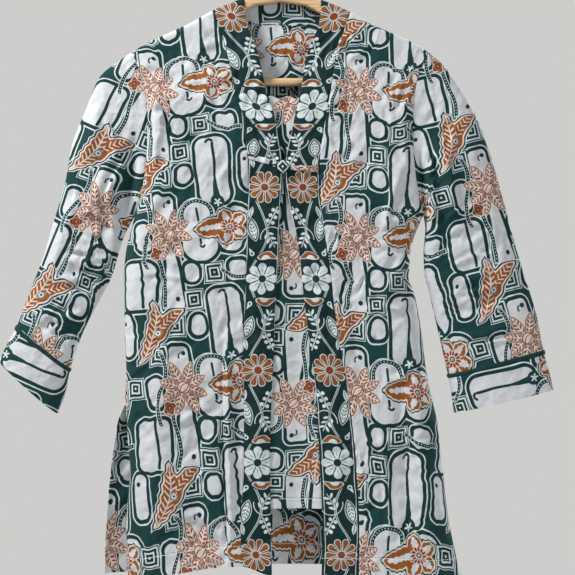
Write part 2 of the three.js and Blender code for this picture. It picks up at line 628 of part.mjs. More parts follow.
function hangerBar() {
  const length = 2 * (LUG_INNER - SEAM);
  const radius = BAR_DIAMETER / 2;
  const mesh = new THREE.Mesh(new THREE.CylinderGeometry(radius, radius, length, 24), wood);
  mesh.name = 'hanger_bar';
  mesh.rotation.z = Math.PI / 2;
  mesh.position.z = -BAR_DROP;
  return mesh;
}

// Question-mark hook: its inner bend tops out at the origin, its stem stands on the arms.
function hangerHook() {
  const radius = HOOK_RADIUS + HOOK_WIRE / 2;
  const points = [];
  for (let degrees = BEND.from; degrees <= BEND.to; degrees += BEND.step) {
    const angle = THREE.MathUtils.degToRad(degrees);
    points.push(vec(radius * Math.cos(angle), 0, radius * Math.sin(angle) - HOOK_RADIUS));
  }
  points.push(...STEM.map(({ x, drop }) => vec(x, 0, -drop)));
  points.push(vec(0, 0, -(shoulderDrop(0) + HANGER_CLEAR) + SEAM));
  const circle = new THREE.Shape().absarc(0, 0, HOOK_WIRE / 2, 0, Math.PI * 2);
  const geometry = new THREE.ExtrudeGeometry(circle, {
    steps: 36, curveSegments: 5, bevelEnabled: false, extrudePath: new THREE.CatmullRomCurve3(points),
  });
  const mesh = new THREE.Mesh(geometry, steel);
  mesh.name = 'hanger_hook';
  return mesh;
}

// ----------------------------------------------------------------------- assembly

const blouse = new THREE.Group();
blouse.name = 'kebaya_blouse_on_hanger';
blouse.add(hangerArms(), hangerBar(), hangerHook());
for (const side of ['right', 'left']) {
  const [panel, band] = front(side);
  blouse.add(shell(`front_${side}`, panel, cotton), shell(`band_${side}`, band, border));
  blouse.add(...sleeve(side));
}
blouse.add(backPanel(), neckBand(), inset(), ...STRAPS.map(strap), knot());
blouse.traverse((item) => {
  if (!item.isMesh) return;
  item.geometry.deleteAttribute('normal');
  item.geometry.deleteAttribute('uv');
  item.geometry = mergeVertices(item.geometry, 1e-4);
});

export default blouse;
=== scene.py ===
"""Kebaya blouse of batik cotton on a wooden hanger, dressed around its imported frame.

Tables are in millimetres. "drop" is the height below the hook's rest, so z = -drop.
The front of the blouse faces -Y. Right and left are the wearer's: right is -X.
"""

from __future__ import annotations

import logging
import math
from dataclasses import dataclass, field
from enum import Enum
from functools import reduce
from typing import Any, Callable, Sequence

import bpy
import numpy as np
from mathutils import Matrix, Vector, noise

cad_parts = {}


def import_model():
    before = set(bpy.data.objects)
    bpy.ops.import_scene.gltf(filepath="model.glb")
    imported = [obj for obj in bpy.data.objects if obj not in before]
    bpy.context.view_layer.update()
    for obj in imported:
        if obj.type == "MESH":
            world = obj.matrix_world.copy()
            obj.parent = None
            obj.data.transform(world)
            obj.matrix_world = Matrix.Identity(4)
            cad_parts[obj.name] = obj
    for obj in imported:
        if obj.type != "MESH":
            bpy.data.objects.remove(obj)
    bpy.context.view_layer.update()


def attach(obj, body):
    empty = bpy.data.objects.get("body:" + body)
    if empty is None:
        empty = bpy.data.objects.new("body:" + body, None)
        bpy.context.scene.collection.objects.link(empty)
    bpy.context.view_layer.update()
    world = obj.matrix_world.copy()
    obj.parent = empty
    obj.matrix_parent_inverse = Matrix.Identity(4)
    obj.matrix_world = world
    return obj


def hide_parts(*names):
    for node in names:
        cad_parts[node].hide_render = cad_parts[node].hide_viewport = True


LOG = logging.getLogger("kebaya")
MM = 0.001
MERGE = 1e-6  # points nearer than this, in metres, are one

CLOTH = 1.2  # wall of every cloth piece
SEAM = 0.3  # gap between two pieces along a seam
TURN = 7.8  # radius of the cloth's turn over the hanger's top edge
ARM_TOP = 172.0  # armhole's top and underarm, as drops
ARM_END = 408.0
VENT_DROP = 685.0  # top of the side vents
HEM_DROP = 941.0
HEM_DEPTH = 31.0  # cloth turned up inside the hem
HEM_STITCH = 30.0  # from the hem's edge up to its stitching
HEM_STEP = 0.7  # how far the doubled hem stands proud
SEAM_DIP = 0.9  # depth of the groove along a seam
SEAM_REACH = 3.2  # and its width
TRIM_GAP = 0.5  # between a trim and the cloth it lies on
ARRAY = np.ndarray


class Side(Enum):
    """The wearer's two sides, with the sign of their X."""

    RIGHT = -1
    LEFT = 1

    @property
    def word(self) -> str:
        """The side's name as the frame's nodes have it."""
        return self.name.lower()


class Face(Enum):
    """Front and back of the blouse, with the sign of their Y."""

    FRONT = -1
    BACK = 1


# ------------------------------------------------------------------ tables and curves


def table(columns: str, *rows: Sequence[float]) -> dict[str, ARRAY]:
    """Names the columns of a short table.

    Args:
        columns: the columns' names, with spaces between.
        rows: the table's rows.

    Returns:
        Each column as an array, by name.
    """
    return dict(zip(columns.split(), np.array(rows, float).T))


SHOULDER = table(
    "x drop",
    (0, 78), (50, 91), (60, 94.5), (100, 111), (133, 129.5), (172, 147.5), (196, 158.5),
    (218, 172), (240, 188),
)
ARMHOLE = table(
    "drop x",
    (172, 218), (192, 209), (212, 201), (240, 195.5), (275, 193.5), (310, 194), (345, 197),
    (375, 201.5), (395, 206.5), (408, 212),
)
SIDE_LINE = table(
    "drop right right_back left",
    (408, 212, 212, 212), (426, 217, 217, 204), (445, 222, 222, 196.5), (470, 227, 227, 191),
    (500, 229.5, 229.5, 189.5), (535, 229, 229, 199), (590, 228, 228, 208.5),
    (640, 226, 226, 214.5), (685, 228, 228, 224), (706, 225.5, 236, 229),
    (740, 223.5, 243.5, 235), (785, 220.5, 249, 239), (830, 223, 254, 243),
    (880, 225, 257.5, 251), (941, 224, 260, 266),
)
BANDS = table(
    "drop right_outer right_inner left_inner left_outer",
    (92, -101, -53.5, 60.5, 108), (110, -97, -51.5, 60, 104.5), (130, -91, -49, 57.5, 98),
    (172, -78, -33.5, 41, 83), (210, -70, -25, 34, 77), (235, -65, -20, 30, 73),
    (268, -54, -8, 22, 67), (300, -50, -3, 15, 62), (326, -47, 2.5, 6.5, 58.5),
    (361, -46, 3, 7, 57.5), (392, -46.5, 0, 12, 59.5), (420, -47, -1.3, 19.5, 63),
    (455, -48, -1.8, 26.5, 67.5), (500, -49, -4.5, 31.5, 74), (560, -52, -7.5, 38, 81),
    (615, -53, -9, 46, 89), (657, -52, -11.6, 51, 97), (770, -52, -14.5, 57.5, 110),
    (866, -57, -13, 61.5, 114.5), (941, -50, -11.5, 60, 114),
)
DEPTH = table(
    "drop front back",
    (100, 8, 8), (172, 12, 9), (240, 17, 11), (330, 21, 12), (450, 24, 12), (600, 27, 12),
    (800, 31, 12), (941, 35, 13),
)
# Rings of each sleeve and its cuff, the armhole first. The cuff starts at ring CUFF_RING.
SLEEVES = {
    Side.RIGHT: table(
        "ring out_x out_drop in_x in_drop front back",
        (0, 218, 172, 212, 408, 12, 12), (1, 241, 188, 221, 424, 15, 12),
        (2, 264, 207, 231, 445, 18, 12), (3, 286, 258, 240, 474, 19, 12),
        (4, 306, 310, 249, 503, 18, 11), (5, 316, 365, 262, 529, 17, 11),
        (6, 332, 419, 276, 555, 16, 11), (7, 348, 473, 290, 582, 16, 11),
        (8, 368, 525, 300, 609, 16, 11), (9, 388, 577, 310, 639, 16, 11),
        (10, 401, 601, 316, 671, 17, 12), (11, 413, 626, 328, 703, 18, 13),
    ),
    Side.LEFT: table(
        "ring out_x out_drop in_x in_drop front back",
        (0, 218, 172, 212, 408, 12, 12), (1, 235, 186, 215, 421, 15, 12),
        (2, 258, 215, 216, 438, 18, 12), (3, 288, 267, 212, 466, 19, 12),
        (4, 309, 324, 213, 495, 18, 11), (5, 326, 381, 220, 525, 17, 11),
        (6, 341, 439, 227, 555, 16, 11), (7, 358, 497, 234, 586, 16, 11),
        (8, 376, 555, 241, 617, 16, 11), (9, 388, 613, 248, 648, 16, 11),
        (10, 395, 640, 253, 675, 17, 12), (11, 402, 668, 256, 702, 18, 13),
    ),
}
CUFF_RING, LAST_RING = 9, 11
# Share of the armhole's curve that is left in a sleeve's first rings.
ARMHOLE_BEND = table("ring share", (0, 1), (1, 0.75), (2, 0.5), (3, 0.25), (4, 0.1), (5, 0))
# Drops of a sleeve's points round the armhole, close where its curve is tight.
ARMHOLE_STEPS = np.array(
    [ARM_TOP, 173.1, 176, 180, 192, 212, 240, 275, 310, 345, 375, 393, 403, ARM_END]
)
HEMS = {Side.RIGHT: (941, 920, 933), Side.LEFT: (941, 938, 938)}  # side, band seam, band edge


def mix(a: Any, b: Any, t: Any) -> Any:
    """The value a share t of the way from a to b."""
    return a + (b - a) * t


def ease(t: Any) -> Any:
    """A share between 0 and 1 that starts and ends softly."""
    t = np.clip(t, 0, 1)
    return t * t * (3 - 2 * t)


def quarter(t: Any) -> Any:
    """A quarter circle's height over a share of its radius."""
    return np.sqrt(1 - (1 - np.clip(t, 0, 1)) ** 2)


class Line:
    """A smooth curve through a table's rows that never overshoots them."""

    def __init__(self, rows: dict[str, ARRAY], by: str, of: str) -> None:
        """Fits the curve.

        Args:
            rows: the table.
            by: the column it goes along, in rising order.
            of: the column it gives.
        """
        self.x, self.y = rows[by], rows[of]
        slope = np.diff(self.y) / np.diff(self.x)
        before, after = slope[:-1], slope[1:]
        total = np.where(before * after > 0, before + after, 1)
        inner = np.where(before * after > 0, 2 * before * after / total, 0)
        self.tangent = np.concatenate([slope[:1], inner, slope[-1:]])

    def __call__(self, at: Any) -> Any:
        """The curve's value at a number or at each number of an array."""
        i = np.clip(np.searchsorted(self.x, at) - 1, 0, len(self.x) - 2)
        width = self.x[i + 1] - self.x[i]
        t = np.clip((at - self.x[i]) / width, 0, 1)
        level = self.y[i] * (1 + 2 * t) * (1 - t) ** 2 + self.y[i + 1] * t * t * (3 - 2 * t)
        lean = self.tangent[i] * t * (1 - t) ** 2 - self.tangent[i + 1] * t * t * (1 - t)
        return level + width * lean


SHOULDER_DROP = Line(SHOULDER, "x", "drop")
ARMHOLE_X = Line(ARMHOLE, "drop", "x")
FRONT_DEPTH = Line(DEPTH, "drop", "front")
BACK_DEPTH = Line(DEPTH, "drop", "back")
ARM_TIP, UNDERARM_X = (float(ARMHOLE["x"][row]) for row in (0, -1))


# --------------------------------------------------------------------------- creases


CREASE_DEPTH = 1.5  # scales every crease


@dataclass(frozen=True)
class Crease:
    """A soft ridge or trough pressed into the cloth along a path."""

    path: tuple[tuple[float, float], ...]  # x and drop of its points
    width: float  # from its line to where it has faded
    height: float  # outwards, so a trough is negative
    twist: float = 0.0  # share of a step: one side stands up and the other sinks

    def lift(self, x: ARRAY, drop: ARRAY) -> ARRAY:
        """How far the crease moves the cloth outwards at each place."""
        points = np.array(self.path, float)
        steps = np.linalg.norm(np.diff(points, axis=0), axis=1)
        best = np.full(x.shape, np.inf)
        side = np.zeros(x.shape)
        share = np.zeros(x.shape)
        done = 0.0
        for (ax, ad), (bx, bd), length in zip(points[:-1], points[1:], steps):
            ux, ud = (bx - ax) / length, (bd - ad) / length
            run = np.clip((x - ax) * ux + (drop - ad) * ud, 0, length)
            dx, dd = x - ax - run * ux, drop - ad - run * ud
            away = np.hypot(dx, dd)
            near = away < best
            best = np.where(near, away, best)
            side = np.where(near, np.sign(dx * ud - dd * ux), side)
            share = np.where(near, (done + run) / steps.sum(), share)
            done += length
        reach = best / self.width
        taper = ease(3.5 * share) * ease(3.5 * (1 - share))
        bell = np.exp(-(reach**2))
        step = side * reach * np.exp(0.5 - reach**2) * 1.4
        return CREASE_DEPTH * self.height * taper * mix(bell, step, self.twist)


BODY_CREASES = {
    Face.FRONT: (
        Crease(((-77, 560), (-80, 680), (-76, 800), (-74, 925)), 6, 5.5, 0.7),
        Crease(((-200, 432), (-172, 438), (-140, 452)), 4, 1.8, 0.6),
        Crease(((-208, 455), (-180, 470), (-152, 474)), 4, -1.8, 0.5),
        Crease(((-206, 505), (-176, 498), (-138, 512)), 4, 1.6, 0.6),
        Crease(((-150, 724), (-118, 700), (-92, 690)), 5, 2.0, 0.7),
        Crease(((-140, 770), (-112, 742), (-94, 726)), 5, -2.0, 0.5),
        Crease(((-112, 820), (-98, 850), (-94, 890)), 5, 2.2, 0.6),
        Crease(((140, 440), (162, 425), (188, 420)), 4, 1.8, 0.6),
        Crease(((130, 478), (156, 466), (186, 470)), 4, -1.8, 0.5),
        Crease(((120, 760), (150, 742), (196, 748)), 5, 1.8, 0.7),
        Crease(((118, 560), (150, 548), (188, 556)), 4, 1.6, 0.6),
        Crease(((127, 690), (142, 726), (149, 784), (156, 900)), 5, 3.0, 0.6),
        Crease(((-165, 520), (-172, 680), (-166, 935)), 18, 3.2),
        Crease(((-122, 640), (-118, 780), (-124, 935)), 12, -3.0),
        Crease(((192, 560), (205, 720), (222, 938)), 16, 3.2),
        Crease(((172, 600), (182, 760), (190, 936)), 11, -3.2),
        Crease(((104, 470), (112, 600), (124, 700)), 11, -2.4),
        Crease(((-206, 392), (-178, 440), (-150, 500)), 7, 2.6, 0.5),
        Crease(((-200, 430), (-168, 492), (-150, 560)), 8, -2.6),
        Crease(((186, 452), (160, 505), (138, 560)), 8, 2.6, 0.5),
        Crease(((185, 330), (165, 385), (152, 450)), 7, 2.2, -0.5),
        Crease(((182, 225), (178, 300), (186, 372)), 8, 2.4, 0.4),
        Crease(((-182, 222), (-176, 290), (-184, 360)), 9, 2.4, -0.4),
        Crease(((-120, 190), (-132, 260), (-128, 330)), 12, -1.8),
        Crease(((118, 180), (128, 250), (120, 330)), 12, -1.8),
        Crease(((-96, 420), (-104, 520), (-98, 610)), 12, 2.2),
        Crease(((-30, 430), (-34, 560), (-30, 700), (-36, 900)), 10, 1.6),
        Crease(((46, 470), (62, 600), (80, 740), (88, 900)), 10, 1.8),
        Crease(((-208, 560), (-190, 590), (-160, 600)), 6, 1.8, 0.6),
        Crease(((198, 620), (176, 650), (150, 655)), 6, 1.8, -0.6),
        Crease(((-150, 860), (-120, 850), (-96, 868)), 7, 1.6, 0.5),
        Crease(((232, 800), (206, 822), (176, 818)), 7, 1.6, 0.5),
    ),
    Face.BACK: (
        Crease(((0, 200), (-4, 420), (3, 700), (0, 920)), 16, 2.2),
        Crease(((-60, 420), (-70, 640), (-82, 930)), 15, 3.6, 0.3),
        Crease(((-104, 480), (-118, 690), (-126, 935)), 12, -3.2),
        Crease(((70, 430), (84, 660), (98, 932)), 15, 3.6, -0.3),
        Crease(((120, 500), (134, 720), (150, 936)), 12, -3.2),
        Crease(((-172, 540), (-186, 740), (-202, 938)), 15, 3.2),
        Crease(((178, 560), (196, 760), (214, 938)), 15, 3.2),
        Crease(((-196, 340), (-150, 400), (-96, 430)), 9, 2.8, 0.5),
        Crease(((196, 346), (146, 404), (92, 436)), 9, 2.8, 0.5),
        Crease(((-198, 392), (-160, 450), (-120, 486)), 8, -2.4),
        Crease(((192, 430), (152, 470), (116, 498)), 8, -2.4),
        Crease(((-150, 190), (-120, 250), (-112, 320)), 11, 2.0, 0.4),
        Crease(((146, 188), (122, 246), (116, 318)), 11, 2.0, 0.4),
        Crease(((-200, 600), (-160, 622), (-118, 616)), 7, 2.0, 0.6),
        Crease(((204, 640), (164, 655), (120, 650)), 7, 2.0, -0.6),
    ),
}
SLEEVE_CREASES = {
    (Side.RIGHT, Face.FRONT): (
        Crease(((-300, 404), (-264, 418), (-234, 436)), 4, 2.4, 0.7),
        Crease(((-312, 436), (-272, 448), (-238, 468)), 4, -2.4, 0.4),
        Crease(((-318, 462), (-282, 468), (-246, 488)), 4, 2.2, 0.7),
        Crease(((-326, 498), (-288, 502), (-256, 520)), 4, -2.2, 0.5),
        Crease(((-262, 262), (-246, 300), (-238, 340)), 5, 2.2, 0.6),
        Crease(((-352, 560), (-320, 570), (-296, 590)), 4, 2.0, 0.7),
        Crease(((-206, 300), (-219, 345), (-225, 385), (-223, 412), (-229, 462)), 13, -8),
        Crease(((-216, 306), (-238, 349), (-252, 381), (-249, 407), (-240, 462)), 6, 4.5, 0.4),
        Crease(((-232, 300), (-262, 352), (-282, 420)), 9, 3.4, 0.4),
        Crease(((-222, 372), (-250, 418), (-268, 470)), 8, -3.2),
        Crease(((-250, 470), (-286, 480), (-322, 470)), 7, 3.0, 0.6),
        Crease(((-262, 505), (-300, 518), (-338, 512)), 7, -2.8, 0.3),
        Crease(((-284, 556), (-322, 556), (-356, 540)), 7, 2.8, 0.6),
        Crease(((-256, 230), (-270, 290), (-292, 350)), 10, 2.6, -0.4),
        Crease(((-300, 380), (-318, 440), (-340, 505)), 9, 2.6),
        Crease(((-300, 590), (-330, 584), (-372, 556)), 6, -2.4, 0.5),
    ),
    (Side.LEFT, Face.FRONT): (
        Crease(((296, 392), (262, 400), (230, 424)), 4, 2.4, 0.7),
        Crease(((306, 424), (268, 436), (232, 452)), 4, -2.4, 0.4),
        Crease(((316, 468), (280, 470), (244, 486)), 4, 2.2, 0.7),
        Crease(((322, 520), (284, 528), (248, 530)), 4, -2.2, 0.5),
        Crease(((262, 262), (250, 300), (236, 344)), 5, 2.2, 0.6),
        Crease(((346, 590), (306, 596), (262, 612)), 4, 2.0, 0.7),
        Crease(((203, 318), (208, 370), (214, 432)), 8, -6),
        Crease(((214, 306), (222, 370), (226, 440)), 6, 3.5, -0.4),
        Crease(((228, 290), (248, 350), (256, 430)), 9, 3.4, -0.4),
        Crease(((222, 380), (240, 430), (246, 490)), 8, -3.2),
        Crease(((232, 500), (268, 515), (310, 500)), 7, 3.0, 0.6),
        Crease(((236, 545), (276, 556), (330, 530)), 7, -2.8, 0.3),
        Crease(((250, 590), (290, 594), (350, 570)), 7, 2.8, 0.6),
        Crease(((252, 232), (272, 300), (290, 372)), 10, 2.6, 0.4),
        Crease(((300, 396), (322, 470), (342, 548)), 9, 2.6),
        Crease(((250, 452), (280, 448), (312, 424)), 6, -2.4, 0.5),
    ),
    (Side.RIGHT, Face.BACK): (
        Crease(((-230, 320), (-258, 380), (-274, 440)), 9, 3.0, 0.4),
        Crease(((-256, 480), (-290, 492), (-330, 480)), 7, -2.8, 0.5),
        Crease(((-286, 548), (-320, 552), (-358, 534)), 7, 2.6, 0.6),
        Crease(((-252, 236), (-276, 300), (-300, 372)), 10, 2.4),
    ),
    (Side.LEFT, Face.BACK): (
        Crease(((226, 316), (246, 380), (252, 448)), 9, 3.0, -0.4),
        Crease(((234, 508), (272, 520), (318, 500)), 7, -2.8, 0.5),
        Crease(((246, 578), (288, 584), (346, 560)), 7, 2.6, 0.6),
        Crease(((256, 240), (280, 316), (300, 392)), 10, 2.4),
    ),
}


def crumple(x: ARRAY, drop: ARRAY, seed: float) -> ARRAY:
    """The small creases of worn-in cotton, about a millimetre high.

    Args:
        x: places across the cloth.
        drop: places down the cloth.
        seed: moves the creases, so that each layer has its own.

    Returns:
        The height at each place.
    """
    out = np.empty(x.size)
    for i, (across, down) in enumerate(zip(x.flat, drop.flat)):
        broad = noise.noise(Vector((across / 44, down / 70, seed)))
        lean = (across + 0.4 * down) / 21 + 1.5 * broad
        fine = noise.noise(Vector((lean, down / 34 - broad, seed + 7)))
        small = noise.noise(Vector((across / 9 + 3 * fine, down / 13, seed - 5)))
        worn = min(max(noise.noise(Vector((across / 60, down / 50, seed + 11))) * 3 + 0.6, 0), 1)
        out[i] = 3.0 * broad - (2.0 + 4.6 * worn) * abs(fine) + (0.4 + worn) * small + 0.8
    return out.reshape(x.shape)


# ------------------------------------------------------------------------ body's form


class BodyForm:
    """The hanging shape of the blouse's body, shared by all its panels."""

    swell = 5.0  # how far the armhole's middle stands off beyond its turn
    close = 26.0  # drop over which the armhole closes at the underarm
    side_fold = 42.0  # width over which a panel rounds away to its side seam
    vent_open = 8.0
    belly_drop = 110.0  # drop over which the fronts leave the hanger's depth

    @classmethod
    def armhole_stand(cls, drop: ARRAY) -> ARRAY:
        """How far the armhole's edge stands off the middle plane."""
        share = np.clip((drop - ARM_TOP) / (ARM_END - ARM_TOP), 0, 1)
        turned = TURN * quarter((drop - ARM_TOP) / TURN) + cls.swell * np.sin(np.pi * share)
        return turned * quarter((ARM_END - drop) / cls.close)

    @classmethod
    def stand_off(cls, x: ARRAY, drop: ARRAY, side_x: ARRAY, full: ARRAY) -> ARRAY:
        """How far a panel's middle surface stands off the middle plane.

        Args:
            x: places across the panel.
            drop: their drops.
            side_x: distance of the side line from the middle at those drops.
            full: the panel's depth away from its side fold.

        Returns:
            The distance at each place.
        """
        below = drop - SHOULDER_DROP(np.abs(x))
        turned = TURN * quarter(below / TURN)
        belly = np.maximum(full - TURN, 0) * ease(below / cls.belly_drop)
        above = turned + belly * quarter((ARM_TOP - drop) / 60 + 0.25)
        vent = cls.vent_open * np.clip((drop - VENT_DROP) / (HEM_DROP - VENT_DROP), 0, 1)
        edge = np.where(drop < ARM_END, cls.armhole_stand(drop), vent)
        round_side = mix(edge, turned + belly, quarter((side_x - np.abs(x)) / cls.side_fold))
        return np.where(drop < ARM_TOP, above, round_side)

    @staticmethod
    def side_line(column: str) -> Callable[[ARRAY], ARRAY]:
        """Distance from the middle of the armhole and the side line below it."""
        below = Line(SIDE_LINE, "drop", column)
        return lambda drop: np.where(drop < ARM_END, ARMHOLE_X(drop), below(drop))

    @classmethod
    def front_y(cls, x: ARRAY, drop: ARRAY, side: Side) -> ARRAY:
        """Y of the fronts' middle surface, with its creases."""
        side_x = cls.side_line(side.word)(drop)
        y = -cls.stand_off(x, drop, side_x, FRONT_DEPTH(drop))
        return y - cls.relief(x, drop, side_x, Face.FRONT)

    @staticmethod
    def on_side_seam(x: ARRAY, drop: ARRAY, side_x: ARRAY) -> ARRAY:
        """Which places lie on the sewn stretch of the side line, above the vent."""
        sewn = (drop >= ARM_END - 0.5) & (drop <= VENT_DROP + 1)
        return sewn & (side_x - np.abs(x) < 0.05)

    @staticmethod
    def relief(x: ARRAY, drop: ARRAY, side_x: ARRAY, face: Face) -> ARRAY:
        """Height of a face's creases, which fade out at its seams."""
        lift = sum(crease.lift(x, drop) for crease in BODY_CREASES[face])
        lift = lift + crumple(x, drop, 3.0 * face.value)
        edge = ease((side_x - np.abs(x)) / 14)
        top = ease((drop - SHOULDER_DROP(np.abs(x))) / 45)
        return lift * edge * top


Place = tuple[ARRAY, ARRAY]


def patch(
    s: ARRAY,
    t: ARRAY,
    top: Callable[[ARRAY], Place],
    hem: Callable[[ARRAY], Place],
    start: Callable[[ARRAY], Place],
    end: Callable[[ARRAY], Place],
) -> Place:
    """Coons patch between four edges.

    Args:
        s: shares across, one for each point of a grid.
        t: shares down.
        top: x and drop along the top edge.
        hem: along the bottom edge.
        start: down the first side.
        end: down the last side.

    Returns:
        x and drop of each point.
    """
    zero, one = np.zeros(1), np.ones(1)
    out = []
    for k in (0, 1):
        first = mix(top(zero)[k], top(one)[k], s)
        corners = mix(first, mix(hem(zero)[k], hem(one)[k], s), t)
        out.append(mix(start(t)[k], end(t)[k], s) + mix(top(s)[k], hem(s)[k], t) - corners)
    return out[0], out[1]


def spread(count: int, tight: float = 0.5) -> ARRAY:
    """Shares from 0 to 1, closer together at both ends."""
    even = np.linspace(0, 1, count)
    return mix(even, (1 - np.cos(np.pi * even)) / 2, tight)


def body_rows() -> ARRAY:
    """The shares down a panel at which it has a row: close at the shoulder and the hem."""
    turn = ARM_TOP + TURN * (1 - np.cos(np.linspace(0, np.pi / 2, 7)))
    hem_fold = HEM_DROP - HEM_DEPTH
    rest = np.linspace(turn[-1], HEM_DROP, 240)[1:]
    drops = np.sort(np.concatenate([turn, rest, [hem_fold - 0.7, hem_fold + 0.7]]))
    return (drops - ARM_TOP) / (HEM_DROP - ARM_TOP)


def edge_by(line: Callable, first: float, last: float, sign: float = 1) -> Callable:
    """The edge of a panel that follows a line of x by drop, from one drop to another."""
    return lambda t: (sign * line(mix(first, last, t)), mix(first, last, t))


def hem_step(t: ARRAY) -> ARRAY:
    """How far the cloth stands proud at each share down a panel, where its hem is doubled."""
    return HEM_STEP * ((1 - t) * (HEM_DROP - ARM_TOP) < HEM_DEPTH)


def seam_groove(away: ARRAY) -> ARRAY:
    """Depth of the groove at a distance from a seam."""
    return SEAM_DIP * (1 - np.clip(away / SEAM_REACH, 0, 1)) ** 2


def placed(x: ARRAY, y: ARRAY, drop: ARRAY) -> ARRAY:
    """A grid of points from their places across, depths and drops."""
    return np.stack([x, y, -drop], axis=2)


# ------------------------------------------------------------------------ mesh making


BAKE_GAP = 0.005  # either side of the bake map's middle, between the cloth's two faces


def deselect() -> None:
    """Leaves nothing selected, so that an operator acts on its own object only."""
    if bpy.context.object and bpy.context.object.mode != "OBJECT":
        bpy.ops.object.mode_set(mode="OBJECT")
    bpy.ops.object.select_all(action="DESELECT")


def apply_modifier(piece: bpy.types.Object, kind: str, **settings: Any) -> None:
    """Adds a modifier with its settings and applies it.

    Args:
        piece: the object.
        kind: the modifier's type.
        settings: its settings, by Blender's names.
    """
    modifier = piece.modifiers.new(kind.title(), kind)
    for name, value in settings.items():
        setattr(modifier, name, value)
    bpy.context.view_layer.objects.active = piece
    bpy.ops.object.modifier_apply(modifier=modifier.name)


def smooth(piece: bpy.types.Object, degrees: float = 50) -> None:
    """Shades a piece smooth, with edges sharper than an angle left crisp."""
    deselect()
    piece.select_set(True)
    bpy.context.view_layer.objects.active = piece
    bpy.ops.object.shade_smooth_by_angle(angle=math.radians(degrees))
    deselect()


def grid_of(name: str, points: ARRAY) -> bpy.types.Object:
    """A sheet of faces through rows and columns of points.

    Args:
        name: the object's name.
        points: rows x columns x 3, in millimetres.

    Returns:
        The object, at the origin.
    """
    rows, columns = points.shape[:2]
    deselect()
    bpy.ops.mesh.primitive_grid_add(x_subdivisions=columns - 1, y_subdivisions=rows - 1)
    piece = bpy.context.object
    piece.name = piece.data.name = name
    piece.data.vertices.foreach_set("co", (points * MM).ravel())
    return piece


def fill_map(mesh: bpy.types.Mesh, name: str, places: ARRAY) -> None:
    """Fills a mesh's UV map, which is made if it isn't there.

    Args:
        mesh: the mesh.
        name: the map's name.
        places: the two coordinates of each vertex.
    """
    corner = np.empty(len(mesh.loops), int)
    mesh.loops.foreach_get("vertex_index", corner)
    uv_map = mesh.uv_layers.get(name) or mesh.uv_layers.new(name=name)
    uv_map.data.foreach_set("uv", places.reshape(-1, 2)[corner].ravel())


def running(steps: ARRAY, axis: int) -> ARRAY:
    """Running sum of steps along an axis, from nothing."""
    nothing = np.zeros_like(np.take(steps, [0], axis))
    return np.concatenate([nothing, np.cumsum(steps, axis)], axis)


def run_length(points: ARRAY, axis: int) -> ARRAY:
    """Length from a grid's first row or column to each point, along the cloth."""
    return running(np.linalg.norm(np.diff(points, axis=axis), axis=2), axis)


def extra_length(points: ARRAY, axis: int) -> ARRAY:
    """Length that a grid's rows or columns gain by leaving the picture plane.

    Args:
        points: a grid of points.
        axis: 0 down the columns, 1 along the rows.

    Returns:
        The gain from the first row or column to each point.
    """
    step = np.diff(points, axis=axis)
    return running(np.linalg.norm(step, axis=2) - np.hypot(step[..., 0], step[..., 2]), axis)


def centred_gain(points: ARRAY, axis: int) -> ARRAY:
    """The same gain, counted from the grid's middle."""
    total = extra_length(points, axis)
    return total - np.take(total, [total.shape[axis] // 2], axis)


@dataclass(frozen=True)
class Grain:
    """How a piece was laid on the printed cloth: where one lotus lies, and the print's turn."""

    x: float
    drop: float
    turn: float = 0.0  # degrees, anticlockwise as seen from the front

    def cut(self, across: ARRAY, up: ARRAY) -> ARRAY:
        """Places on the flat cloth, in metres from a lotus, for places on the piece."""
        angle = math.radians(self.turn)
        dx, dy = across - self.x, up + self.drop
        u = dx * math.cos(angle) + dy * math.sin(angle)
        v = dy * math.cos(angle) - dx * math.sin(angle)
        return np.stack([u, v], axis=2) * MM


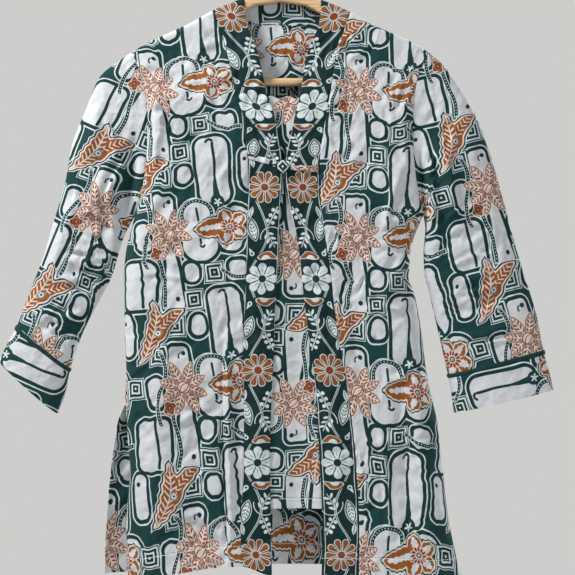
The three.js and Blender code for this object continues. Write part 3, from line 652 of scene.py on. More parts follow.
@dataclass
class ClothPiece:
    """One cut and sewn piece: a grid of middle-surface points and its place on the cloth."""

    name: str
    points: ARRAY  # rows x columns x 3, millimetres
    cut: ARRAY  # rows x columns x 2, metres on the flat cloth
    closed: bool = False  # the last column is the first again
    wall: float = CLOTH
    hem_stitch: float = 0.0  # how far above the last row it is stitched; 0 for nowhere

    def stitched(self) -> ARRAY:
        """Place along the hem's stitching and, plus one, the distance above it, in metres."""
        down = run_length(self.points, 0)
        above = down[-1:] - down - self.hem_stitch
        return np.stack([run_length(self.points, 1), above], axis=2) * MM + (0, 1)

    def flat(self) -> tuple[tuple[float, float], float]:
        """Width and length of the cut piece, and its area, in metres."""
        u, v = self.cut[..., 0], self.cut[..., 1]
        across = self.cut[1:, 1:] - self.cut[:-1, :-1]
        other = self.cut[1:, :-1] - self.cut[:-1, 1:]
        area = 0.5 * np.abs(across[..., 0] * other[..., 1] - across[..., 1] * other[..., 0])
        return (float(np.ptp(u)), float(np.ptp(v))), float(area.sum())

    def sew(self) -> bpy.types.Object:
        """Builds the piece as a closed shell with its maps.

        Returns:
            The object, at the origin.
        """
        rows, columns = self.points.shape[:2]
        piece = grid_of(self.name, self.points)
        mesh = piece.data
        mesh.uv_layers[0].name = "Cut"
        fill_map(mesh, "Cut", self.cut)
        if self.hem_stitch:
            fill_map(mesh, "Stitch", self.stitched())
        across, down = np.linspace(0, 0.5 - BAKE_GAP, columns), np.linspace(1, 0, rows)
        fill_map(mesh, "OFBake", np.stack(np.meshgrid(across, down), 2))
        if self.closed:
            bpy.ops.object.mode_set(mode="EDIT")
            bpy.ops.mesh.select_all(action="SELECT")
            bpy.ops.mesh.remove_doubles(threshold=MERGE)
            bpy.ops.object.mode_set(mode="OBJECT")
        faces = len(mesh.polygons)
        apply_modifier(
            piece, "SOLIDIFY", thickness=self.wall * MM, offset=0, use_even_offset=True
        )
        self.move_inner_map(piece.data, faces)
        piece.data.uv_layers["Cut"].active = True
        smooth(piece)
        return piece

    @staticmethod
    def move_inner_map(mesh: bpy.types.Mesh, faces: int) -> None:
        """Gives the second side of the shell its own half of the bake map.

        Args:
            mesh: the shell's mesh, whose second run of faces is its other side.
            faces: how many faces each side has.
        """
        start = mesh.polygons[faces].loop_start
        end = mesh.polygons[2 * faces].loop_start if len(mesh.polygons) > 2 * faces else None
        data = mesh.uv_layers["OFBake"].data
        uv = np.empty(2 * len(mesh.loops))
        data.foreach_get("uv", uv)
        uv = uv.reshape(-1, 2)
        uv[start:end, 0] += 0.5 + BAKE_GAP
        data.foreach_set("uv", uv.ravel())


# -------------------------------------------------------------------- shader as Python


class Value:
    """A number in a shader: Python's operators on it add Math nodes."""

    def __init__(self, maker: "NodeMaker", socket: bpy.types.NodeSocket) -> None:
        """Wraps an output socket of the maker's tree."""
        self.maker, self.socket = maker, socket

    def math(self, operation: str, *others: Any, clamp: bool = False) -> "Value":
        """One Math node on this value and others."""
        node = self.maker.node(
            "ShaderNodeMath", {"operation": operation, "use_clamp": clamp}, self, *others
        )
        return Value(self.maker, node.outputs[0])

    def behind(self, operation: str, other: float) -> "Value":
        """One Math node with a number before this value."""
        node = self.maker.node("ShaderNodeMath", {"operation": operation}, other, self)
        return Value(self.maker, node.outputs[0])

    def __add__(self, other: Any) -> "Value":
        """Sum."""
        return self.math("ADD", other)

    def __radd__(self, other: float) -> "Value":
        """Sum, with the number first."""
        return self.math("ADD", other)

    def __sub__(self, other: Any) -> "Value":
        """Difference."""
        return self.math("SUBTRACT", other)

    def __rsub__(self, other: float) -> "Value":
        """Difference, with the number first."""
        return self.behind("SUBTRACT", other)

    def __mul__(self, other: Any) -> "Value":
        """Product."""
        return self.math("MULTIPLY", other)

    def __rmul__(self, other: float) -> "Value":
        """Product, with the number first."""
        return self.math("MULTIPLY", other)

    def __truediv__(self, other: Any) -> "Value":
        """Quotient."""
        return self.math("DIVIDE", other)

    def __abs__(self) -> "Value":
        """Size without sign."""
        return self.math("ABSOLUTE")

    def min(self, other: Any) -> "Value":
        """The smaller of two."""
        return self.math("MINIMUM", other)

    def max(self, other: Any) -> "Value":
        """The larger of two."""
        return self.math("MAXIMUM", other)

    def sqrt(self) -> "Value":
        """Square root."""
        return self.math("SQRT")

    def sin(self) -> "Value":
        """Sine."""
        return self.math("SINE")

    def cos(self) -> "Value":
        """Cosine."""
        return self.math("COSINE")

    def atan2(self, other: Any) -> "Value":
        """Angle of the point (other, self)."""
        return self.math("ARCTAN2", other)

    def wrap(self, low: float, high: float) -> "Value":
        """The value brought back between two limits by whole steps."""
        return self.math("WRAP", high, low)

    def blend(self, other: Any, reach: float) -> "Value":
        """The smaller of two, with the corner between them rounded."""
        return self.math("SMOOTH_MIN", other, reach)

    def cover(self, soft: float) -> "Value":
        """1 where the value is below 0 and 0 above, with a soft edge."""
        return self.math("MULTIPLY_ADD", -0.5 / soft, 0.5, clamp=True)


class NodeMaker:
    """Adds nodes to the tree of one material or world."""

    def __init__(self, owner: bpy.types.Material | bpy.types.World) -> None:
        """Starts from an empty tree."""
        owner.use_nodes = True
        self.tree = owner.node_tree
        self.tree.nodes.clear()

    def node(
        self, kind: str, settings: dict[str, Any], *inputs: Any, **named: Any
    ) -> bpy.types.Node:
        """One node.

        Args:
            kind: Blender's type name.
            settings: its properties, set first.
            inputs: values or links of its first sockets, in order.
            named: values or links of sockets, by name with _ for a space.

        Returns:
            The node.
        """
        made = self.tree.nodes.new(kind)
        for name, value in settings.items():
            setattr(made, name, value)
        for socket, value in zip(made.inputs, inputs):
            self.feed(socket, value)
        for name, value in named.items():
            self.feed(made.inputs[name.replace("_", " ")], value)
        return made

    def feed(self, socket: bpy.types.NodeSocket, value: Any) -> None:
        """Links a socket, or sets it to a number, colour or vector."""
        if value is None:
            return
        if isinstance(value, Value):
            value = value.socket
        if isinstance(value, bpy.types.NodeSocket):
            self.tree.links.new(value, socket)
        else:
            socket.default_value = value

    def map(self, name: str) -> tuple[Value, Value]:
        """The two coordinates of a piece's own map."""
        uv = self.node("ShaderNodeUVMap", {"uv_map": name})
        parts = self.node("ShaderNodeSeparateXYZ", {}, uv.outputs[0])
        return Value(self, parts.outputs[0]), Value(self, parts.outputs[1])

    def noise(self, place: Any, scale: float, detail: float = 2, rough: float = 0.5) -> Value:
        """A cloud of soft noise at some places, about 0.5 in the middle."""
        made = self.node(
            "ShaderNodeTexNoise", {}, Vector=place, Scale=scale, Detail=detail, Roughness=rough
        )
        return Value(self, made.outputs[0])

    def paint(
        self, under: Any, mask: Any, colour: Any, blend: str = "MIX"
    ) -> bpy.types.NodeSocket:
        """A colour laid over another, or multiplied with it, where a mask is 1."""
        made = self.node("ShaderNodeMix", {"data_type": "RGBA", "blend_type": blend})
        for socket, value in zip([made.inputs[0], *made.inputs[6:8]], (mask, under, colour)):
            self.feed(socket, value)
        return made.outputs[2]

    def surface(self, colour: Any, roughness: Any, normal: Any, **own: Any) -> None:
        """The closing Principled shader.

        Args:
            colour: the base colour.
            roughness: the roughness.
            normal: the bumped normal, or None.
            own: other sockets, the same all over.
        """
        shader = self.node(
            "ShaderNodeBsdfPrincipled", {}, Base_Color=colour, Roughness=roughness,
            Normal=normal, **own,
        )
        self.node("ShaderNodeOutputMaterial", {}, shader.outputs[0])


Colour = tuple[float, float, float, float]


def srgb(red: float, green: float, blue: float) -> Colour:
    """A screen colour of 0 to 255 as Blender's linear numbers."""
    linear = (
        ((c / 255 + 0.055) / 1.055) ** 2.4 if c > 10 else c / 3295 for c in (red, green, blue)
    )
    return (*linear, 1)


# ------------------------------------------------------------------------ the prints


@dataclass(frozen=True)
class Dyes:
    """The batik's colours."""

    cloth: Colour = srgb(200, 203, 204)
    white: Colour = srgb(201, 211, 211)
    green: Colour = srgb(16, 56, 55)
    line: Colour = srgb(12, 48, 48)
    orange: Colour = srgb(138, 80, 32)
    rust: Colour = srgb(126, 60, 28)
    pink: Colour = srgb(214, 198, 188)
    brown: Colour = srgb(122, 66, 32)


def length(x: Any, y: Any) -> Any:
    """Distance of a place from its origin."""
    return (x * x + y * y).sqrt()


def box(x: Any, y: Any, wide: float, tall: float, corner: float) -> Any:
    """Distance outside a box with rounded corners, given by its half sizes."""
    reach = length((abs(x) - (wide - corner)).max(0.0), (abs(y) - (tall - corner)).max(0.0))
    return reach - corner


def leaf_shape(u: Any, v: Any, half: float, wide: float) -> Any:
    """Distance outside a pointed leaf along u.

    Args:
        u: along the leaf, from its middle.
        v: across it.
        half: half its length.
        wide: half its width.

    Returns:
        The distance, below 0 inside.
    """
    off = (half * half - wide * wide) / (2 * wide)
    return length(u, abs(v) + off) - (off + wide)


def petal_shape(u: Any, v: Any, reach: float, wide: float) -> Any:
    """Distance outside a petal that widens from the origin along u to a round end."""
    end = reach - wide
    return (length(u - end, v) - wide).min((abs(v) - u * (wide / end)).max(u - end))


def turned(x: Any, y: Any, degrees: float) -> tuple[Any, Any]:
    """Coordinates along and across a direction."""
    c, s = math.cos(math.radians(degrees)), math.sin(math.radians(degrees))
    return x * c + y * s, y * c - x * s


def fanned(x: Any, y: Any, petals: int, turn: float = 0.0) -> tuple[Any, Any, Any]:
    """Coordinates along and across the nearest of a flower's petals.

    Args:
        x: across, from the flower's middle.
        y: up from it.
        petals: how many petals it has.
        turn: turn of the flower, in radians.

    Returns:
        The coordinates and the distance from the middle.
    """
    far = length(x, y)
    fan = (y.atan2(x) + turn).wrap(-math.pi / petals, math.pi / petals)
    return far * fan.cos(), far * fan.sin(), far


def union(shapes: Sequence[Value]) -> Value:
    """Distance outside several shapes taken together."""
    return reduce(lambda one, other: one.min(other), shapes)


class Canvas:
    """Cloth that motifs are laid on, one over the other."""

    def __init__(self, maker: NodeMaker, dyes: Dyes, soft: float) -> None:
        """Starts from the green ground, with the softness of a dyed edge."""
        self.maker, self.colour, self.soft = maker, dyes.green, soft

    def lay(self, shape: Value, colour: Colour) -> None:
        """Lays a colour inside a shape, which is given as the distance outside it."""
        self.colour = self.maker.paint(self.colour, shape.cover(self.soft), colour)


class Anchor(Enum):
    """Points of the field's repeat that motifs are placed from, as column and row."""

    LOTUS = (0, 0)
    LEAVES = (0, 1)
    ORCHID = (1, 0)
    HALL = (1, 1)  # the long room under each orchid


Places = dict[Anchor, tuple[Value, Value]]  # across and up from each


@dataclass(frozen=True)
class FieldPrint:
    """The all-over print: lotuses, leaves, squares and stems over pale rooms in green walls."""

    dyes: Dyes = Dyes()
    wide: float = 205.0  # the repeat across
    beside: float = 72.5  # from a lotus to the orchid beside it
    tall: float = 222.0  # the repeat down
    drift: float = 0.00013  # how the hand-stamped repeat grows down the cloth
    soft: float = 0.3  # softness of a dyed edge
    inset: float = 3.1  # how far a room's cloth keeps inside its outline
    wall: float = 5.2  # green line round a room
    contour: float = 1.9  # white line outside that
    square: float = 11.8  # half of a square
    # Upright rooms: anchor, middle across and up from it, half width and height, corner.
    rooms: tuple[tuple[Anchor, float, float, float, float, float], ...] = (
        (Anchor.LOTUS, -4, 40, 18, 22, 11),
        (Anchor.ORCHID, -27, -2, 28, 45, 23),
        (Anchor.HALL, 1, -24, 26, 52, 18),
        (Anchor.ORCHID, 25, -60, 16, 13, 10),
        (Anchor.LOTUS, -41, -3, 14, 23, 12),
        (Anchor.LEAVES, -80, -30, 13, 32, 12),
    )
    # The squares, which step up like a stair: anchor, middle across and up from it.
    stair: tuple[tuple[Anchor, float, float], ...] = (
        (Anchor.HALL, -11, 48),
        (Anchor.LEAVES, 28, 11),
        (Anchor.LEAVES, -3, -24),
        (Anchor.LOTUS, -33, 49),
        (Anchor.LOTUS, -74, 4),
    )

    def paint(self, x: Value, y: Value, canvas: Canvas) -> None:
        """Lays all motifs on the cloth.

        Args:
            x: places across the cloth, in millimetres.
            y: places up the cloth.
            canvas: the cloth.
        """
        half, up = self.wide / 2, self.tall / 2
        y = y * (y * self.drift + 1)
        columns = x.wrap(-half, half), (x - self.beside).wrap(-half, half)
        rows = y.wrap(-up, up), (y - up).wrap(-up, up)
        at = {anchor: (columns[anchor.value[0]], rows[anchor.value[1]]) for anchor in Anchor}
        for draw in (
            self.draw_rooms, self.draw_squares, self.draw_stems, self.draw_hooks,
            self.draw_leaves, self.draw_lotus, self.draw_orchid,
        ):
            draw(at, canvas)

    def ink(self, canvas: Canvas, shape: Value, line: float, contour: float) -> None:
        """Lays a white contour and then a green line round a shape.

        Args:
            canvas: the cloth.
            shape: distance outside the shape.
            line: width of the green line.
            contour: width of the white contour outside it.
        """
        canvas.lay(shape - (line + contour), self.dyes.white)
        canvas.lay(shape - line, self.dyes.line)

    def squares(self, at: Places) -> Value:
        """Distance outside the squares."""
        return union([
            abs(at[anchor][0] - across).max(abs(at[anchor][1] - up)) - self.square
            for anchor, across, up in self.stair
        ])

    def draw_rooms(self, at: Places, canvas: Canvas) -> None:
        """The pale rooms, and the green bulb at the foot of each long one."""
        (x0, y0), (x1, y1) = at[Anchor.LOTUS], at[Anchor.HALL]
        rooms = [
            box(at[anchor][0] - across, at[anchor][1] - up, *size)
            for anchor, across, up, *size in self.rooms
        ]
        u, v = turned(x1 - 27, y0 + 4, 72)
        bent = box(u, v - u * u * 0.004, 37, 19, 16)
        leg = box(x0 - (y1 - 45) * 0.03 + 1, y1 - 49, 0.5, 40, 0.5) - 13.5 + (y1 - 49) * 0.11
        upper_egg = box(x0 - 28, y0 + 62, 13, 16, 12) - (y0 + 62) * 0.08
        lower_egg = box(x0 - 30, y1 + 23, 13, 16, 12) + (y1 + 23) * 0.1
        leaning = box(x0 + 52 - (y1 - 38) * 0.1, y1 - 38, 27, 37, 15)
        inside = union([*rooms, bent, leg, upper_egg, lower_egg, leaning]) + self.inset
        self.ink(canvas, inside.min(self.squares(at) + 3.4), self.wall, self.contour)
        canvas.lay(inside, self.dyes.cloth)
        x1 = x1 - 3
        bulb = (length(x1, y1 + 72) - 10.5).min(
            (abs(x1) + (y1 + 72) * 0.28 - 7).max(-72.0 - y1)
        )
        wedge = (abs(x1) * 4 + (y1 + 38) * 0.5 - 9).max(abs(y1 + 48) - 22)
        canvas.lay(bulb.min(wedge), self.dyes.green)
        blossom = length(x1, y1 + 73) - 4.2 + ((y1 + 73).atan2(x1) * 5).sin() * 2.4
        canvas.lay(blossom, self.dyes.white)

    def draw_squares(self, at: Places, canvas: Canvas) -> None:
        """Squares within squares."""
        shape = self.squares(at)
        canvas.lay(shape - 2.8, self.dyes.line)
        rings = union([abs(shape) - 1.1, abs(shape + 5.6) - 1.05, shape + 10.4])
        canvas.lay(rings, self.dyes.white)

    def draw_stems(self, at: Places, canvas: Canvas) -> None:
        """Dark stems, each with a row of white dots."""
        (x0, y0), (x1, y1) = at[Anchor.LOTUS], at[Anchor.HALL]
        stems = (  # distance from the stem's line and along it, and outside its stretch
            (length(x1 + 29, y0 - 20) - 22, (y0 - 20).atan2(x1 + 29) * 22, 13.0 - y0),
            (x0 + 33 - (y0 * 0.055).sin() * 9, y0 * 1.15, abs(y0 - 2) - 50),
            (x0 + 17 + ((y1 - 60) * 0.06).sin() * 2.5, y1, abs(y1 - 44) - 40),
            (y0 + 60 + x1 * 0.35 + (x1 * 0.09).sin() * 5, x1 * 1.12, abs(x1 - 23) - 24),
        )
        for off, along, part in stems:
            body = (abs(off) - 2.5).max(part)
            dots = (length(off, along.wrap(-2.4, 2.4)) - 0.8).max(part)
            canvas.lay(body - 1.1, self.dyes.white)
            canvas.lay(body, self.dyes.line)
            canvas.lay(dots, self.dyes.white)

    def draw_hooks(self, at: Places, canvas: Canvas) -> None:
        """The hooked lines, dots and commas in the rooms."""
        (x0, y0), (x1, y1) = at[Anchor.LOTUS], at[Anchor.HALL]
        marks = union([
            box(x1 + 27 + (y0 - 10) * 0.05, y0 - 6, 1.8, 27, 1.8),
            (abs(length(x1 + 23.4, y0 + 21) - 3.4) - 1.6).max(y0 + 21),
            box(x1 - 3 - (y1 + 20) * 0.03, y1 + 8, 2.0, 26, 2.0),
            (abs(length(x1 + 0.2, y1 - 18) - 4.2) - 1.8).max(18.0 - y1),
            box(x0 + 47, y1 - 40, 2.2, 35, 2.2),
            length(x0 + 84, y1 + 14) - 3,
            length(x0 - 4, y0 - 49) - 3.5,
            length(x0 - 4, y0 + 96) - 3.5,
            (abs(length(x0 - 1, y0 - 45) - 5) - 1.2).max(x0 - 1 + (45.0 - y0)).max(y0 - 50),
        ])
        canvas.lay(marks, self.dyes.line)

    def draw_leaves(self, at: Places, canvas: Canvas) -> None:
        """Two orange leaves on one stalk, with light veins and an eye."""
        dyes = self.dyes
        x, y = at[Anchor.LEAVES]
        u, v = turned(x + 36, y + 30, 72)
        v = v - u * u * 0.006
        edge = (u * 0.45).sin()
        long = leaf_shape(u + 2, v, 43, 11.5) + edge
        p, q = turned(x + 14, y + 13, 40)
        short = leaf_shape(p, q + p * p * 0.008, 25, 9.0) + edge * 0.6
        shape = long.blend(short, 5.0).blend(length(x + 30, y + 30) - 12, 7.0)
        self.ink(canvas, shape - 1.6, 2.2, 1.4)
        canvas.lay(shape - 1.6, dyes.pink)
        canvas.lay(shape + 0.6, dyes.orange)
        veins = (abs(v) * 0.7 - u * 0.8).sin() * -1.6 + 0.85
        comb = veins.max(abs(v) - 8.5).max(long + 1.9).min((abs(v) - 0.9).max(long + 1))
        twigs = (abs(q) * 0.8 - p * 0.85).sin() * -1.6 + 0.85
        canvas.lay(comb.min(twigs.max(short + 1.9).max(abs(q) - 6)), dyes.pink)
        eye = length(x + 31, y + 32) - 5.6
        canvas.lay(eye, dyes.cloth)
        canvas.lay((abs(eye + 0.9) - 0.6).min(eye + 4.0), dyes.line)

    def draw_lotus(self, at: Places, canvas: Canvas) -> None:
        """A lotus of veined petals with a folded heart, and a small blossom by it."""
        dyes = self.dyes
        x, y = at[Anchor.LOTUS]
        u, v, far = fanned(x, y, 8, 0.35)
        u = u * (1.0 + (y.atan2(x) * 2 + 0.8).sin() * 0.1)
        petal = leaf_shape(u - 21, v, 15.5, 6.6)
        canvas.lay(petal - 1.5, dyes.pink)
        veins = ((u * 1.05 - abs(v) * 0.9).sin() - 0.1) * 1.3
        shade = veins.max(petal + 1.4).max(0.8 - abs(v)).min(abs(petal + 0.2) - 0.65)
        canvas.lay(shade, dyes.brown)
        heart = far - 9.0
        canvas.lay(heart, dyes.pink)
        s, t = turned(x - 0.6, y + 0.4, 48)
        fold = (abs(leaf_shape(s, t, 9.0, 4.0)) - 0.7).min(abs(heart + 0.6) - 0.8)
        canvas.lay(fold, dyes.brown)
        x, y = x + 23, y + 26
        near, way = length(x, y), y.atan2(x)
        blossom = near - (8.2 + (way * 4).sin() * 1.6)
        canvas.lay(blossom - 1.5, dyes.pink)
        canvas.lay(blossom, dyes.rust)
        specks = (length(near - 5.4, (way * 8).sin() * 1.7) - 0.6).min(near - 0.8)
        canvas.lay(specks, dyes.pink)

    def draw_orchid(self, at: Places, canvas: Canvas) -> None:
        """A drawn-out orange flower with pale petals and an eye within a ring of rust ones."""
        dyes = self.dyes
        x, y = at[Anchor.ORCHID]
        x, y = (x - 5) * 0.9, y * 0.9
        u, v, far = fanned(x - 11, y - 1, 5, 0.63)
        petals = petal_shape(u, v, 23.5, 8.5)
        tail = leaf_shape(x + 10, y - 1, 24, 11.5)
        shape = petals.blend(tail, 5.0) + (x * 0.9).sin() * 0.5
        self.ink(canvas, shape - 1.7, 1.7, 1.2)
        canvas.lay(shape - 1.7, dyes.pink)
        canvas.lay(shape, dyes.orange)
        rays = leaf_shape(u - 14, v, 8.2, 4.2) + (u * 1.4).sin() * 0.5
        streak = leaf_shape(x + 16, y - 1, 14, 3.6) + (x * 0.8).sin() * 0.8
        canvas.lay(rays.min(streak), dyes.cloth)
        along, across, _ = fanned(x - 11, y - 1, 12)
        ring = leaf_shape(along - 7.6, across, 3.4, 1.6)
        canvas.lay((far - 7.0).min(ring - 0.9), dyes.pink)
        canvas.lay(ring, dyes.rust)
        canvas.lay((abs(far - 2.6) - 0.8).min(far - 0.7), dyes.line)


@dataclass(frozen=True)
class BorderPrint:
    """The border print: orange and white daisies in turn, with a vine of leaves between."""

    dyes: Dyes = Dyes(green=srgb(10, 42, 42))
    repeat: float = 266.0  # from one orange daisy to the next
    half: float = 24.5  # half the band's width
    soft: float = 0.35

    def paint(self, x: Value, y: Value, canvas: Canvas) -> None:
        """Lays the border's motifs on its green ground.

        Args:
            x: places across the band, from its middle, outwards.
            y: places up the band, from an orange daisy.
            canvas: the cloth.
        """
        dyes, apart = self.dyes, self.repeat / 2
        y0, y1 = y.wrap(-apart, apart), (y - apart).wrap(-apart, apart)
        sway = (y.wrap(-apart / 2, apart / 2) * (2 * math.pi / apart)).cos() * 12 + 5
        vine = abs(x - sway) - 0.6
        canvas.lay(vine - 1.0, dyes.white)
        canvas.lay(vine, dyes.line)
        self.draw_foliage(x, abs(y0), canvas)
        self.draw_comma(x, abs(y1), canvas)
        clear = (length(x - 0.5, y0) - 24).min(length(x + 1, y1) - 22)
        canvas.lay(clear, dyes.green)
        self.draw_daisy(canvas, (x - 0.5, y0), 10, 23.0, dyes.orange, dyes.rust)
        self.draw_daisy(canvas, (x + 1, y1), 8, 22.5, dyes.white, dyes.line)
        canvas.lay(abs(abs(x) - (self.half - 1.9)) - 0.45, dyes.white)

    def draw_foliage(self, x: Value, far: Value, canvas: Canvas) -> None:
        """The vine's white leaves and buds, at their distances from the orange daisy."""
        u, v = turned(far - 42, x + 14, 24)
        lobes = (length(u.wrap(-4.2, 4.2), abs(v) - 4.0) - 2.7).max(abs(u) - 12.6)
        sprig = lobes.min((abs(v) - 0.8).max(abs(u) - 15))
        u, v = turned(far - 76, x + 12, -28)
        p, q = turned(u.wrap(-3.8, 3.8), abs(v) - 4.2, 48)
        twig = leaf_shape(p, q, 4.6, 1.8).max(abs(u) - 11.4).min((abs(v) - 0.5).max(abs(u) - 13))
        bough = (abs(length(x + 13, far - 74) - 16.5) - 0.6).max(far - 76)
        u, v = turned(far - 62, x - 14.5, -14)
        blade = leaf_shape(u, v, 14, 5.4)
        p, q = turned(far - 37, x - 18.5, 10)
        bud = leaf_shape(p, q, 8.5, 3.2)
        r, t = turned(far - 94, x - 17, -30)
        drop = petal_shape(r + 6, t, 13, 3.6)
        canvas.lay(
            union([sprig, twig, bough, blade, bud, drop, abs(blade - 2.2) - 0.5]), self.dyes.white
        )
        veins = (((u * 1.2 + abs(v)).sin() + 0.45) * 0.9).max(blade + 1.0).max(0.6 - abs(v))
        dark = union([veins, (abs(q) - 0.5).max(bud + 1), length(r - 3.4, t) - 1.6])
        canvas.lay(dark, self.dyes.line)

    def draw_comma(self, x: Value, far: Value, canvas: Canvas) -> None:
        """A white comma with an orange crescent, on either side of each white daisy."""
        u, v = turned(far - 27, x + 24, 50)
        comma = petal_shape(u, v - u * u * 0.02, 27, 8.0)
        canvas.lay(comma - 2.2, self.dyes.green)
        canvas.lay(comma, self.dyes.white)
        canvas.lay((comma + 1.1).max(7.0 - length(u - 14.0, v - 11.5)), self.dyes.orange)

    def draw_daisy(
        self, canvas: Canvas, place: tuple[Value, Value], petals: int, size: float,
        fill: Colour, heart: Colour,
    ) -> None:
        """One daisy.

        Args:
            canvas: the cloth.
            place: across and up from its middle.
            petals: how many petals it has.
            size: its radius.
            fill: the petals' colour.
            heart: its middle's colour.
        """
        u, v, far = fanned(*place, petals)
        petal = petal_shape(u - 3, v, size - 3, math.sin(math.pi / petals) * size * 0.6)
        canvas.lay(petal - 0.8, self.dyes.white)
        canvas.lay(petal + 0.3, fill)
        canvas.lay((abs(v) - 0.35).max(abs(u - size * 0.55) - size * 0.12), heart)
        canvas.lay(far - 6.4, self.dyes.white)
        canvas.lay(far - 5.5, heart)


# -------------------------------------------------------------------------- finishes


@dataclass(frozen=True)
class Cotton:
    """Plain-woven cotton under a print."""

    name: str
    pattern: FieldPrint | BorderPrint | None
    plain: Colour = srgb(16, 54, 52)
    thread: Colour = srgb(214, 216, 212)
    wobble: float = 1.5  # how far the hand-drawn lines stray, in millimetres
    wobble_scale: float = 24.0  # how often, as the noise has it, a metre
    stitch: float = 3.6  # from one stitch to the next, in millimetres
    stitch_long: float = 2.7
    thread_wide: float = 0.9
    pucker: float = 2.2  # how far the cloth dips beside the stitching

    def strayed(self, maker: NodeMaker, uv: bpy.types.NodeSocket) -> tuple[Value, Value]:
        """Places on the flat cloth, in millimetres, moved as the hand-drawn lines stray."""
        noise = maker.node(
            "ShaderNodeTexNoise", {}, Vector=uv, Scale=self.wobble_scale, Detail=0.0
        )
        parts = maker.node("ShaderNodeSeparateColor", {}, noise.outputs[1])
        x, y = (
            flat * 1000 + Value(maker, stray) * (4 * self.wobble) - 2 * self.wobble
            for flat, stray in zip(maker.map("Cut"), parts.outputs)
        )
        return x, y

    def material(self) -> bpy.types.Material:
        """The printed cloth as a Blender material."""
        made = bpy.data.materials.new(self.name)
        maker = NodeMaker(made)
        uv = maker.node("ShaderNodeUVMap", {"uv_map": "Cut"}).outputs[0]
        colour: Any = self.plain
        if self.pattern:
            canvas = Canvas(maker, self.pattern.dyes, self.pattern.soft)
            self.pattern.paint(*self.strayed(maker, uv), canvas)
            colour = canvas.colour
        along, above = maker.map("Stitch")
        off = abs(above * 1000 - 1000)
        gaps = abs((along * 1000).wrap(-self.stitch / 2, self.stitch / 2)) - self.stitch_long / 2
        thread = (off - self.thread_wide / 2).max(gaps)
        colour = maker.paint(colour, thread.cover(0.15), self.thread)
        mottle = maker.noise(uv, 90.0, 3, 0.6)
        shade = (mottle - 0.5) * 0.34 + 0.97
        grey = maker.node("ShaderNodeCombineColor", {}, shade, shade, shade).outputs[0]
        weave = maker.noise(uv, 1500.0, 1) * 0.25 + maker.noise(uv, 160.0, 2) * 0.5
        crinkle = abs(maker.noise(uv, 26.0, 2) - 0.5) * -12.0
        bump = maker.node(
            "ShaderNodeBump", {}, Strength=0.6, Distance=0.0009,
            Height=weave + crinkle - (1 - off / self.pucker).max(0.0) * 1.5,
        )
        maker.surface(
            maker.paint(colour, 1.0, grey, "MULTIPLY"), mottle * 0.12 + 0.8, bump.outputs[0],
            Sheen_Weight=0.06, Sheen_Roughness=0.5, Specular_IOR_Level=0.2,
        )
        return made


@dataclass(frozen=True)
class Timber:
    """Pale hanger wood under satin lacquer."""

    name: str
    light: Colour = srgb(226, 196, 150)
    dark: Colour = srgb(190, 146, 96)
    grain: float = 0.006  # from one line of the grain to the next, in metres

    def material(self) -> bpy.types.Material:
        """The wood as a Blender material."""
        made = bpy.data.materials.new(self.name)
        maker = NodeMaker(made)
        place = maker.node("ShaderNodeTexCoord", {}).outputs["Object"]
        parts = maker.node("ShaderNodeSeparateXYZ", {}, place)
        x, y, z = (Value(maker, socket) for socket in parts.outputs)
        long = maker.node("ShaderNodeCombineXYZ", {}, x * 0.12, y, z).outputs[0]
        stray = maker.noise(long, 55.0, 3)
        lines = ((z + y * 0.6) / self.grain * 6.28 + stray * 9).sin() * 0.5 + 0.5
        fine = maker.noise(long, 900.0, 2)
        colour = maker.paint(self.light, (lines * 0.55 + fine * 0.45) * 0.8, self.dark)
        bump = maker.node("ShaderNodeBump", {}, Strength=0.2, Distance=0.0004, Height=fine)
        maker.surface(colour, fine * 0.14 + 0.32, bump.outputs[0], Coat_Weight=0.3)
        return made


@dataclass(frozen=True)
class Plated:
    """Bright plated wire."""

    name: str
    tint: Colour = srgb(205, 207, 210)

    def material(self) -> bpy.types.Material:
        """The metal as a Blender material."""
        made = bpy.data.materials.new(self.name)
        maker = NodeMaker(made)
        place = maker.node("ShaderNodeTexCoord", {}).outputs["Object"]
        scuff = maker.noise(place, 420.0, 3)
        maker.surface(self.tint, scuff * 0.2 + 0.12, None, Metallic=1.0)
        return made


@dataclass(frozen=True)
class Plain:
    """A plain studio surface."""

    name: str
    tint: Colour

    def material(self) -> bpy.types.Material:
        """The surface as a Blender material."""
        made = bpy.data.materials.new(self.name)
        NodeMaker(made).surface(self.tint, 0.9, None)
        return made


class Wardrobe:
    """The object's finishes, each made once."""

    def __init__(self) -> None:
        """Makes every material."""
        self.field_cotton = Cotton("field_cotton", FieldPrint()).material()
        self.border_cotton = Cotton("border_cotton", BorderPrint(), wobble=0.9).material()
        self.piping_green = Cotton("piping_green", None).material()
        self.hanger_wood = Timber("hanger_wood").material()
        self.hook_steel = Plated("hook_steel").material()


# ------------------------------------------------------------------------ the blouse


